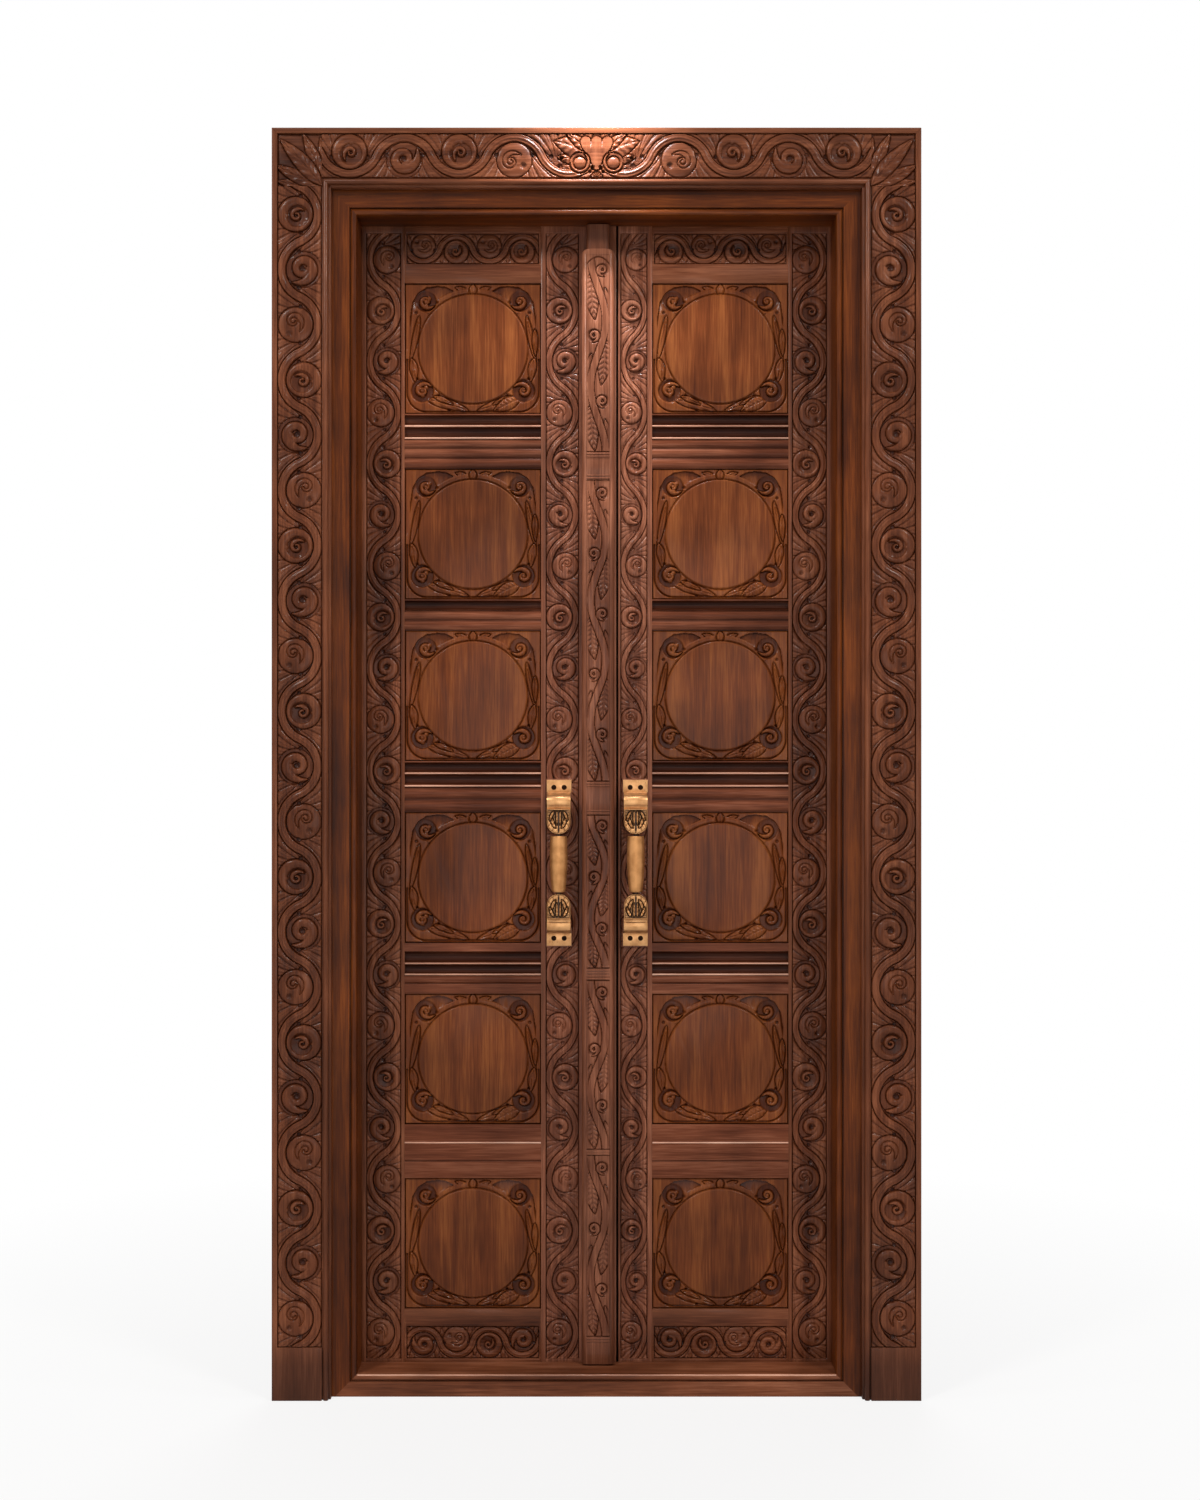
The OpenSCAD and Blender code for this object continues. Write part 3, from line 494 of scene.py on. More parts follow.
class Finish:
    """A new material with short ways to add and join its nodes."""

    def __init__(self, name):
        self.material = bpy.data.materials.new(name)
        self.material.use_nodes = True
        self.tree = self.material.node_tree
        self.shader = self.tree.nodes["Principled BSDF"]

    def add(self, kind, links=None, **values):
        return add_node(self.tree, kind, links, **values)

    def place(self):
        """The piece's own coordinates."""
        return self.add("ShaderNodeTexCoord").outputs["Object"]

    def along(self, axis):
        return self.add("ShaderNodeSeparateXYZ", {0: self.place()}).outputs[axis]

    def hollows(self):
        return self.add("ShaderNodeAttribute", attribute_name="hollow").outputs["Fac"]

    def noise(self, scale, detail, twist=0.0):
        """Noise on the piece's own coordinates, stretched by scale on each axis."""
        mapping = self.add("ShaderNodeMapping", {"Vector": self.place(), "Scale": scale})
        noise = self.add("ShaderNodeTexNoise", {"Vector": mapping.outputs["Vector"], "Scale": 1.0,
                                                "Detail": detail, "Roughness": 0.55, "Distortion": twist})
        return noise.outputs["Fac"]

    def ramp(self, value, stops):
        node = self.add("ShaderNodeValToRGB", {"Fac": value})
        for i, (at, colour) in enumerate(stops):
            point = node.color_ramp.elements[i] if i < 2 else node.color_ramp.elements.new(at)
            point.position = at
            point.color = colour
        return node.outputs["Color"]

    def spread(self, value, low, high, out_low, out_high):
        node = self.add("ShaderNodeMapRange", {"Value": value, "From Min": low, "From Max": high,
                                               "To Min": out_low, "To Max": out_high})
        return node.outputs["Result"]

    def combine(self, kind, *values):
        return self.add("ShaderNodeMath", dict(enumerate(values)), operation=kind).outputs[0]

    def blend(self, kind, share, first, second):
        node = self.add("ShaderNodeMix", {0: share, 6: first, 7: second}, data_type="RGBA", blend_type=kind)
        return node.outputs[2]

    def bump(self, height, strength, distance):
        node = self.add("ShaderNodeBump", {"Height": height, "Strength": strength, "Distance": distance})
        self.send(node.outputs["Normal"], "Normal")

    def send(self, value, socket):
        self.tree.links.new(value, self.shader.inputs[socket])

    def fix(self, values):
        for socket, value in values.items():
            self.shader.inputs[socket].default_value = value


def wood(name, tones, upright, carved=0.0, sheen=0.4, gloss=0.13, shine=0.07, cove_shade=None, foot=None):
    """Oiled hardwood with its grain upright or level. It gets painted shade in carved hollows, in the coves
    between two depths of a moulding, and below the foot of a board, and wear with painted highlight on raised
    carved edges."""
    deep, middle, light = (rgb(*tone) for tone in tones)
    finish = Finish(name)
    fibre = finish.noise((330, 330, 14) if upright else (14, 330, 330), 3.0)
    figure = finish.noise((34, 34, 2.2) if upright else (2.2, 34, 34), 4.0, twist=0.6)
    patch = finish.noise((5.0, 5.0, 5.0), 3.0)
    grain = finish.combine("MULTIPLY_ADD", figure, 0.6, finish.combine("MULTIPLY", fibre, 0.4))
    colour = finish.ramp(grain, ((0.34, deep), (0.66, light), (0.5, middle)))
    tone = finish.ramp(patch, ((0.32, (0.66, 0.64, 0.63, 1.0)), (0.68, (1.3, 1.29, 1.27, 1.0))))
    colour = finish.blend("MULTIPLY", 1.0, colour, tone)
    if carved:
        # Painted shade in carved hollows, by the hollow mark
        painted_shade = finish.spread(finish.hollows(), 0.28, 0.85, 0.0, carved)
        colour = finish.blend("MULTIPLY", painted_shade, colour, (0.3, 0.21, 0.17, 1.0))
        # Raised carved edges are lighter: wear and painted highlight
        rubbed_and_highlit = finish.add("ShaderNodeNewGeometry").outputs["Pointiness"]
        rubbed_and_highlit = finish.spread(rubbed_and_highlit, 0.51, 0.6, 0.0, 0.45)
        colour = finish.blend("MIX", rubbed_and_highlit, colour, light)
    if cove_shade is not None:
        # Painted shade in the coves of a moulding, in front of its back
        painted_shade = finish.spread(finish.along("Y"), cove_shade[0] * MM, cove_shade[1] * MM, 0.0, 0.85)
        front = finish.spread(finish.along("Y"), 92.0 * MM, 96.0 * MM, 1.0, 0.0)
        painted_shade = finish.combine("MULTIPLY", painted_shade, front)
        colour = finish.blend("MULTIPLY", painted_shade, colour, (0.2, 0.16, 0.14, 1.0))
    if foot is not None:
        # Painted shade towards the foot of the board
        foot_shade = finish.spread(finish.along("Z"), (foot - 30.0) * MM, (foot + 50.0) * MM, 1.0, 0.0)
        colour = finish.blend("MULTIPLY", foot_shade, colour, (0.5, 0.51, 0.56, 1.0))
    finish.send(colour, "Base Color")
    finish.send(finish.spread(fibre, 0.3, 0.7, sheen - 0.07, sheen + 0.1), "Roughness")
    finish.bump(fibre, 0.22, 0.0006)
    finish.fix({"Specular IOR Level": shine, "Coat Weight": gloss, "Coat Roughness": 0.16})
    return finish.material


def metal(name, colour, tarnish, rough, carved=False, pure=1.0):
    """Rubbed brass, tarnished in patches, with painted shade in its hollows."""
    finish = Finish(name)
    patch = finish.noise((60, 60, 60), 4.0)
    scuff = finish.noise((700, 700, 120), 3.0)
    face = finish.ramp(patch, ((0.35, tarnish), (0.62, colour)))
    if carved:
        # Painted shade in the hollows of the caps and on the grip's pin
        painted_shade = finish.spread(finish.hollows(), 0.15, 0.65, 0.0, 0.97)
        face = finish.blend("MIX", painted_shade, face, rgb(40, 22, 13))
    finish.send(face, "Base Color")
    finish.send(finish.spread(scuff, 0.3, 0.7, rough - 0.06, rough + 0.1), "Roughness")
    finish.bump(scuff, 0.08, 0.0004)
    finish.fix({"Metallic": pure})
    return finish.material


def felt(name, colour, fuzz):
    """Matt sheet with a fine fuzz, used dark as painted shade."""
    finish = Finish(name)
    grain = finish.noise((900, 900, 900), 3.0)
    finish.send(finish.ramp(grain, ((0.35, colour), (0.7, fuzz))), "Base Color")
    finish.fix({"Roughness": 0.95, "Specular IOR Level": 0.1})
    return finish.material


# Tones of the woods: deep, middle and light
CASING_TONES = ((60, 27, 12), (93, 49, 28), (130, 78, 52))
LEAF_TONES = ((62, 29, 14), (96, 51, 30), (134, 82, 56))
# Meeting stiles are a lighter copy of the leaf wood: painted light at the door's middle
MEETING_LIT_TONES = ((66, 33, 18), (110, 62, 42), (156, 101, 76))
RAIL_TONES = ((80, 40, 24), (105, 57, 37), (136, 83, 60))
JAMB_TONES = ((58, 23, 4), (86, 39, 9), (118, 60, 20))
BAR_TONES = ((56, 27, 15), (100, 55, 36), (150, 96, 71))
SILL_TONES = ((80, 41, 22), (112, 63, 39), (144, 92, 66))
PANEL_TONES = ((74, 32, 10), (103, 51, 21), (133, 75, 36))
# Beads are pale as painted highlights
BEAD_HIGHLIGHT_TONES = ((158, 112, 90), (196, 146, 122), (226, 182, 158))
# Shares of painted shade in carved hollows, softer on the head casing
HOLLOW_SHADE = 0.92
HEAD_HOLLOW_SHADE = 0.66

casing_upright = wood("casing_carved_upright", CASING_TONES, upright=True, carved=HOLLOW_SHADE, foot=FOOT_SHADE_LINE)
casing_level = wood("casing_carved_level", CASING_TONES, upright=False, carved=HEAD_HOLLOW_SHADE)
leaf_upright = wood("leaf_carved_upright", LEAF_TONES, upright=True, carved=HOLLOW_SHADE)
leaf_level = wood("leaf_carved_level", LEAF_TONES, upright=False, carved=HOLLOW_SHADE)
meeting_lit_upright = wood("meeting_carved_upright", MEETING_LIT_TONES, upright=True, carved=HOLLOW_SHADE)
bar_upright = wood("bar_carved_upright", BAR_TONES, upright=True, carved=HOLLOW_SHADE)
rail_level = wood("rail_moulded_level", RAIL_TONES, upright=False, sheen=0.3, gloss=0.08, shine=0.04,
                  cove_shade=RAIL_COVE_SHADE)
highlight_bead_level = wood("bead_waxed_level", BEAD_HIGHLIGHT_TONES, upright=False, sheen=0.24, gloss=0.4)
sill_level = wood("sill_level", SILL_TONES, upright=False, sheen=0.34)
jamb_upright = wood("jamb_upright", JAMB_TONES, upright=True, sheen=0.36, gloss=0.14)
jamb_level = wood("jamb_level", JAMB_TONES, upright=False, sheen=0.36, gloss=0.14)
medallion_wood = wood("medallion_wood", PANEL_TONES, upright=True, carved=HOLLOW_SHADE)
pull_brass = metal("pull_brass", rgb(196, 140, 86), rgb(170, 116, 66), 0.42, carved=True, pure=0.7)
pull_carved = metal("pull_brass_carved", rgb(204, 152, 100), rgb(176, 124, 76), 0.32, carved=True, pure=0.65)
hinge_brass = metal("hinge_brass", rgb(168, 130, 74), rgb(110, 80, 44), 0.42)
# Dark screw heads are painted shade in the screw holes
dark_screws = metal("dark_screws", rgb(44, 27, 18), rgb(28, 17, 12), 0.6)
# Dark sheet for the gap between the leaves, as painted shade
dark_felt = felt("dark_felt", rgb(26, 17, 13), rgb(44, 30, 23))


# Carved runs: bends of a vine repeated up a board by a node tree


def carved_run_tree():
    tree = bpy.data.node_groups.new("carved_run", "GeometryNodeTree")
    for label, kind in (("Bends", "Int"), ("Pitch", "Float"), ("Start", "Vector"),
                        ("Tiles", "Collection"), ("Finish", "Material")):
        tree.interface.new_socket(label, in_out="INPUT", socket_type="NodeSocket" + kind)
    tree.interface.new_socket("Run", in_out="OUTPUT", socket_type="NodeSocketGeometry")
    given = add_node(tree, "NodeGroupInput").outputs
    step = add_node(tree, "ShaderNodeCombineXYZ", {"Z": given["Pitch"]})
    line = add_node(tree, "GeometryNodeMeshLine", {"Count": given["Bends"], "Start Location": given["Start"],
                                                   "Offset": step.outputs[0]}, mode="OFFSET")
    tiles = add_node(tree, "GeometryNodeCollectionInfo", {"Collection": given["Tiles"],
                                                          "Separate Children": True})
    index = add_node(tree, "GeometryNodeInputIndex").outputs[0]
    order = add_node(tree, "FunctionNodeIntegerMath", {0: index, 1: TILES}, operation="MODULO")
    place = add_node(tree, "GeometryNodeInstanceOnPoints",
                     {"Points": line.outputs[0], "Instance": tiles.outputs[0], "Pick Instance": True,
                      "Instance Index": order.outputs[0]})
    real = add_node(tree, "GeometryNodeRealizeInstances", {0: place.outputs[0]})
    weld = add_node(tree, "GeometryNodeMergeByDistance", {0: real.outputs[0], "Distance": 0.05 * MM})
    coat = add_node(tree, "GeometryNodeSetMaterial", {0: weld.outputs[0], "Material": given["Finish"]})
    add_node(tree, "NodeGroupOutput", {0: coat.outputs[0]})
    return tree


RUN_TREE = carved_run_tree()


def into_wood(mesh, name, face, ground, keep):
    """Thins a relief, marks its hollows for painted shade and backs it into the wood."""
    mesh = thinned(mesh, name, keep)
    mark_hollows(mesh, face, ground)
    return backed(mesh, face + ground + 1.0)


def carved_run(name, x, z, pitch, bends, width, face, ground, finish, keep):
    """Carved band up a board, with its relief on the ground plane."""
    tiles = bpy.data.collections.new(name + "_tiles")
    for i in range(TILES):
        s, t, tall = vine_tile(pitch, width, ground, i % KINDS, i % 2 == 0)
        sheet = grid_mesh(f"{name}_tile_{i}", t, face + ground - tall, s, True)
        tiles.objects.link(bpy.data.objects.new(f"{name}_tile_{i}", sheet))
    holder = linked(bpy.data.meshes.new(name), name)
    run = holder.modifiers.new("carved run", "NODES")
    run.node_group = RUN_TREE
    values = {"Bends": bends, "Pitch": pitch * MM, "Start": (x * MM, 0.0, z * MM),
              "Tiles": tiles, "Finish": finish}
    for item in RUN_TREE.interface.items_tree:
        if item.in_out == "INPUT":
            run[item.identifier] = values[item.name]
    mesh = applied(holder, name)
    for tile in list(tiles.objects):
        bpy.data.objects.remove(tile)
    bpy.data.collections.remove(tiles)
    return into_wood(mesh, name, face, ground, keep)


def carved_field(name, x, z, tall, face, ground, keep, flip=False):
    """Relief that is drawn as one field."""
    return into_wood(grid_mesh(name, x, face + ground - tall, z, flip), name, face, ground, keep)


# Casing


def casing_outline():
    """Section of the casing: u outward from its inner edge, y to the back."""
    arc = [(9.0 + 5.0 * math.cos(a), CASING_FRONT + 5.0 - 5.0 * math.sin(a))
           for a in np.linspace(math.pi, 0.0, 13)]
    return [(0, -10), (0, -26), (4, -26), (4, -29.5), *arc, (14, -29), (16, -29), (16, CASING_FRONT),
            (110, CASING_FRONT), (110, 0), (95, 0), (95, -2), (29, -2), (29, 0), (14, 0), (14, -10)]


def side_casing():
    """Board and carved run of the left casing."""
    board = prism("side", casing_outline(), (0.0, 1.0),
                  lambda p, w: (-CASING_IN - p[0], p[1], w * (CASING_IN_Z + p[0])))
    near, far = -CASING_IN - CASING_BAND_IN, -CASING_OUT + CASING_FILLET
    pocket = boxes("pocket", [((far, near), (CASING_FRONT - 9, CASING_FRONT + CASING_GROUND),
                               (CASING_FOOT, CASING_TOP - CASING_FILLET))])
    board = cut_and_eased(board, "side", pocket, 0.7)
    start = CASING_FOOT + 2.0
    pitch = (CASING_IN_Z - start) / SIDE_BENDS
    run = carved_run("side_run", 0.5 * (near + far), start, pitch, SIDE_BENDS, CASING_BAND - 2 * SLACK,
                     CASING_FRONT, CASING_GROUND, casing_upright, 0.42)
    return [board, run]


def palmette(tall, x, z, depth):
    """Lobed heart between two ringed bosses, winged on both sides, for the middle of the head casing."""
    a = np.abs(x)
    for form in (((20, -6), (74, -2), 22, 0.12, 3), ((10, -2), (80, 27), 40, -0.24, 6),
                 ((16, 10), (56, 41), 20, -0.12, 4)):
        tall = with_leaf(tall, a, z, depth, *form)
    half = np.interp(z, (-27, -17, -5, 6, 16, 25), (4, 8, 13, 21, 28, 30))
    heart = np.maximum(a - half, np.maximum(z - 25.0, -27.0 - z))
    for at, r in ((0.0, 10.5), (20.5, 10.0)):
        heart = np.minimum(heart, np.hypot(a - at, z - 25.5) - r)
    cleft = np.exp(-(((a - 10.4) / 1.2) ** 2)) * unit((z - 14.0) / 14.0)
    tall = laid(tall, depth * (0.8 + 0.2 * bulge(a / 36.0) - 0.6 * cleft), heart, 0.8)
    boss = np.hypot(a - 31.7, z + 13.5)
    tall = laid(tall, 0.6 * depth, boss - 19.0, 0.6)
    high, out = snail(a, z, (31.7, -13.5), 20.0, 1.0, 110.0, turns=0.7, decay=0.03, fat=0.18)
    tall = laid(tall, depth * (0.55 + 0.45 * high), out, 0.6)
    tall = laid(tall, depth * (0.5 + 0.5 * bulge(boss / 11.5)), boss - 11.5, 0.7, 2.2)
    shell = np.hypot(a, z + 42.0)
    tall = laid(tall, depth * (0.7 + 0.15 * np.cos(14.0 * np.arctan2(z + 42.0, a + 0.01))), shell - 11.0, 0.8)
    for at, r in (((66, -5), 3.6), ((69, -19), 4.4), ((8, -23), 3.6), ((12, -30), 3.0)):
        tall = tall - pit(a, z, at, r, 0.8 * depth)
    return np.clip(tall, 0.0, depth)


def corner_fan(x, z, depth):
    """Long leaves that spread from the inner corner of the casing to its outer corner."""
    tall = np.full_like(x, 0.3 * depth)
    root = (-CASING_IN - CASING_BAND_IN, -56.0)
    for turn, length, across, bow in ((92, 92, 22, 0.18), (174, 86, 24, -0.16), (110, 104, 26, 0.14),
                                      (156, 96, 26, -0.12), (132, 118, 30, 0.06)):
        a = math.radians(turn)
        tip = (root[0] + length * math.cos(a), root[1] + length * math.sin(a))
        tall = with_leaf(tall, x, z, depth, root, tip, across, bow, 5)
    return tall


def head_casing():
    """Board of the head casing, its carved run with the palmette, and the leaves of its corners."""
    board = prism("head", casing_outline(), (-1.0, 1.0),
                  lambda p, w: (w * (CASING_IN + p[0]), p[1], CASING_IN_Z + p[0]))
    far = CASING_OUT - CASING_FILLET
    low = CASING_IN_Z + CASING_BAND_IN
    pocket = boxes("pocket", [((-far, far), (CASING_FRONT - 9, CASING_FRONT + CASING_GROUND),
                               (low, low + CASING_BAND))])
    board = cut_and_eased(board, "head", pocket, 0.7)
    middle = low + 0.5 * CASING_BAND
    half = 0.5 * CASING_BAND - SLACK
    across = CASING_IN + CASING_BAND_IN
    x, z = grid_over((-across, across), (-half, half))
    tall = vine(np.abs(x), z, across / len(HEAD_KINDS), CASING_BAND - 2 * SLACK, CASING_GROUND,
                HEAD_KINDS, False)
    tall = palmette(tall, x, z, CASING_GROUND)
    edge = unit((half - np.abs(z)) / FALL)
    band = carved_field("head_run", x, z + middle, tall * edge, CASING_FRONT, CASING_GROUND, 0.55)
    cols = int(round((far - across) / GRID)) + 1
    rows = int(round((CASING_BAND + CASING_BAND_IN) / GRID)) + 1
    x, z = np.meshgrid(np.linspace(-far + SLACK, -across, cols),
                       np.linspace(-half - CASING_BAND_IN, half, rows), indexing="ij")
    tall = corner_fan(x, z, CASING_GROUND)
    edge = unit(np.minimum(half - z, x + far - SLACK) / FALL)
    left = carved_field("corner", x, z + middle, tall * edge, CASING_FRONT, CASING_GROUND, 0.6)
    return [board, band, left, mirrored(left, "corner_right")]


both_hands("carved_casing", side_casing(), casing_upright, "frame", "casing_wood", "{}_casing")
piece("carved_casing_head", head_casing(), casing_level, "frame", "casing_wood", "head_casing")


# Leaves


def stile(name, x, band_x, band_w, handle=None, hinged=False):
    """Stile of a leaf between two upright lines, with its carved band in a sunk ground."""
    board = boxes(name, [(x, (LEAF_FRONT, LEAF_BACK), (LEAF_LOW, LEAF_HIGH))])
    band = (band_x - 0.5 * band_w, band_x + 0.5 * band_w)
    cuts = [(band, (LEAF_FRONT - 9, LEAF_FRONT + STILE_GROUND), (BAND_LOW, BAND_HIGH))]
    if hinged:
        cuts += [((-LEAF_EDGE - 1, -LEAF_EDGE + 2.5), (LEAF_BACK - 30, LEAF_BACK + 1), (h - 50, h + 50))
                 for h in HINGE_HEIGHTS]
    board = cut_and_eased(board, name, boxes("cuts", cuts), 0.8)
    pitch = (BAND_HIGH - BAND_LOW - 1.0) / STILE_BENDS
    run = carved_run(name + "_run", band_x, BAND_LOW + 0.5, pitch, STILE_BENDS, band_w - 2 * SLACK,
                     LEAF_FRONT, STILE_GROUND, leaf_upright, 0.4)
    parts = [board, run]
    if handle is not None:
        wide = (max(handle - PAD_HALF, band[0] - 1), min(handle + PAD_HALF, band[1] + 1))
        pads = []
        for end in (-1.0, 1.0):
            far = HANDLE_Z + end * (0.5 * HANDLE_H + 2.0)
            tall = sorted((far, far - end * 36.5))
            pads.append((wide, (LEAF_FRONT, LEAF_FRONT + STILE_GROUND + 2), tall))
        parts.append(boxes(name + "_pads", pads))
    return parts


def end_rail(name, low, high, band_low, band_w, kinds, first_up):
    """Top or bottom rail of the left leaf, with its carved band."""
    board = boxes(name, [((-PANEL_OUT, -PANEL_IN), (LEAF_FRONT, LEAF_BACK), (low, high))])
    inset = 4.0
    span = PANEL_OUT - PANEL_IN - 2 * inset
    pocket = boxes("pocket", [((-PANEL_OUT + inset, -PANEL_IN - inset),
                               (LEAF_FRONT - 9, LEAF_FRONT + STILE_GROUND), (band_low, band_low + band_w))])
    board = cut_and_eased(board, name, pocket, 0.8)
    half = 0.5 * band_w - SLACK
    s, z = grid_over((0.0, span), (-0.5 * band_w, 0.5 * band_w), inset=SLACK)
    tall = vine(s, z, span / len(kinds), band_w - 2 * SLACK, STILE_GROUND, kinds, first_up)
    edge = unit(np.minimum(half - np.abs(z), np.minimum(s, span - s)) / FALL)
    band = carved_field(name + "_run", s - PANEL_OUT + inset, z + band_low + 0.5 * band_w, tall * edge,
                        LEAF_FRONT, STILE_GROUND, 0.6)
    return [board, band]


def medallion():
    """Medallion panel about its own middle: bare disc in a groove, with volutes and leaves in the corners."""
    x, z = grid_over((-PANEL_W / 2, PANEL_W / 2), (-PANEL_H / 2, PANEL_H / 2), PANEL_GRID)
    depth = PANEL_DEPTH
    away = np.hypot(x, z)
    a = np.abs(x)
    # The forms on one side alone are drawn with the other side far off
    on_left, on_right = (np.where(side, a, a + 900.0) for side in (x < 0, x > 0))
    tall = np.full_like(x, 0.8 * depth)
    arch = np.interp(a, (30, 40, 52, 68, 90, 107, 117, 122), (106, 114, 120, 122, 119, 108, 90, 58))
    under = (z > 0) & (a > 34.0) & (a < 122.0) & (z < arch)
    tall = np.where(under, depth * (0.24 + 0.54 * unit((arch - z) / 26.0)), tall)
    pods = (((104, 64), (122, -26), 11.0, 0.04, 1), ((119, -18), (112, -64), 15.0, 0.1, 2),
            ((88, -98), (8, -120), 19.0, 0.09, 3), ((76, -92), (38, -108), 10.0, 0.1, 2),
            ((10, 111), (34, 119), 9.0, -0.1, 1))
    for form in pods:
        tall = with_leaf(tall, a, z, 0.95 * depth, *form)
    for form in (((90, -96), (40, -121), 24.0, 0.06, 7), ((120, 38), (121, -14), 11.0, 0.02, 2)):
        tall = with_leaf(tall, on_right, z, depth, *form)
    hood = (away > DISC_R) & (away < DISC_R + 11.0) & (z > 0.62 * away)
    tall = np.where(hood, depth * (0.7 + 0.3 * bulge((away - DISC_R - 5.0) / 6.0)), tall)
    tall = with_leaf(tall, a, z, depth, (0, 104), (0, 126), 15.0, 0.0, 1)
    for at, rim, hand, start in (((91, 92), 19.0, 1.0, 200.0), ((98, -81), 21.0, -1.0, 160.0)):
        off = np.hypot(a - at[0], z - at[1])
        tall = laid(tall, 0.22 * depth, off - rim, 0.5)
        high, out = snail(a, z, at, rim, hand, start, fat=0.42)
        tall = laid(tall, depth * (0.36 + 0.6 * high), out, 0.8)
        for du, dv in ((-0.34, 0.3), (0.3, 0.2), (-0.02, -0.42)):
            seed = (at[0] + du * rim, at[1] + dv * rim)
            tall = np.maximum(tall, berry(on_left, z, seed, 0.24 * rim, 0.95 * depth))
        tall = np.maximum(tall, berry(a, z, at, 0.24 * rim, 0.95 * depth))
    for at in ((66, -89), (108, -58), (70, 90), (110, 70), (46, -119)):
        tall = tall - pit(a, z, at, 3.2, 0.5 * depth)
    corner, margin = 38.0, 4.0
    out_x = np.maximum(a - (PANEL_W / 2 - margin - corner), 0.0)
    out_z = np.maximum(-z - (PANEL_H / 2 - margin - corner), 0.0)
    field = corner - np.hypot(out_x, out_z)
    tall = np.where((field < 0.0) & (z < 0), 0.95 * depth, tall)
    tall = tall * (1.0 - 0.7 * np.exp(-((field / 1.5) ** 2)) * (z < -20.0))
    tall = np.clip(tall, 0.0, depth)
    over = (z < 0) & (np.hypot(a - 98, z + 81) < 18.0)
    disc_line = np.exp(-(((away - DISC_R) / 1.6) ** 2)) * ~over
    tall = np.where((away < DISC_R) & ~over, depth, tall) * (1.0 - 0.5 * disc_line)
    edge = np.minimum(PANEL_W / 2 - a, PANEL_H / 2 - np.abs(z))
    tall = tall * unit(0.3 + edge / 2.6)
    mesh = grid_mesh("medallion", x, PANEL_FRONT + depth - tall, z, False)
    mesh = thinned(mesh, "medallion", 0.3)
    mark_hollows(mesh, PANEL_FRONT, depth)
    return backed(mesh, PANEL_FRONT + 28.0)


def bar_bend(s, t, pitch, width, depth):
    """One bend of the bar's broad stem from s 0 to pitch, with a volute and ribbed leaves beside it."""
    tall = np.full_like(s, 0.84 * depth)
    turn = math.pi * s / pitch
    mid = -0.33 * width * np.cos(turn)
    slope = 0.33 * width * math.pi / pitch * np.sin(turn)
    away = np.abs(t - mid) / np.sqrt(1.0 + slope * slope)
    for base, tip, across, bow, ribs, cut in (((0.5, -0.3), (0.06, -0.47), 0.2, -0.1, 4, 0.09),
                                              ((0.72, 0.3), (0.02, 0.14), 0.62, 0.12, 9, 0.26)):
        tall = with_leaf(tall, s, t, 0.8 * depth, (base[0] * pitch, base[1] * width),
                         (tip[0] * pitch, tip[1] * width), across * width, bow, ribs, cut, groove=0.95)
    half = 0.15 * width
    tall = laid(tall, depth * (0.8 + 0.2 * bulge(away / half)), away - half, 0.75, 1.5)
    at = (0.78 * pitch, -0.18 * width)
    tall = laid(tall, 0.45 * depth, np.hypot(s - at[0], t - at[1]) - 0.26 * width, 0.6, 1.4)
    high, out = snail(s, t, at, 0.32 * width, -1.0, 200.0, 1.5, 0.1, 0.42)
    tall = laid(tall, depth * (0.55 + 0.45 * high), out, 0.8, 1.4)
    return tall - pit(s, t, (0.62 * pitch, 0.02 * width), 0.06 * width, 0.7 * depth) * (away > half)


def bar_front(low, high, width, depth, bends, arch=0.0):
    """Heights of the low carving on a length of the centre bar."""
    s, t = grid_over((low, high), (-width / 2, width / 2))
    pitch = (high - low) / bends
    tall = np.zeros_like(s)
    for i in range(bends):
        at = s - low - i * pitch
        bend = bar_bend(at, t if i % 2 else -t, pitch, width, depth)
        tall = np.where((at >= 0.0) & (at <= pitch + 0.01), bend, tall)
    side = unit((width / 2 - np.abs(t)) / 5.0)
    tall = tall * side + 0.97 * depth * (1.0 - side)
    if arch == 0.0:
        return s, t, tall * unit(np.minimum(s - low, high - s) / 2.0)
    past = s - high + 3.0 + arch * (2.0 * t / width) ** 2
    tall = np.where(past > 0.0, 0.97 * depth, tall) * (1.0 - 0.75 * np.exp(-((past / 1.5) ** 2)))
    return s, t, tall * unit((s - low) / 2.0)


# Sizes of the centre bar; its carved spans are shares of its height
BAR_X = 3.0
BAR_W = 63.0
BAR_NECK_W = 46.0
BAR_FRONT = 42.0
BAR_LOW = 45.0
BAR_HIGH = 2235.0
BAR_NECK = 47.0
BAR_ROUND = 10.0
BAR_BAND = 44.0
BAR_GROUND = 4.7
BAR_BEND = 115.0
BAR_ARCH = 14.0
BAR_SPANS = ((0.024, 0.184), (0.188, 0.337), (0.347, 0.482), (0.511, 0.776), (0.8, 0.973))


def bar_length(name, width, span):
    """Length of the bar with rounded front edges."""
    half, r = 0.5 * width, BAR_ROUND
    left = [(-half + r - r * math.cos(a), BAR_FRONT + r - r * math.sin(a))
            for a in np.linspace(0, math.pi / 2, 9)]
    outline = [(-half, LEAF_FRONT), *left, *[(-u, y) for u, y in reversed(left)], (half, LEAF_FRONT)]
    return prism(name, outline, span, lambda p, w: (BAR_X + p[0], p[1], w))


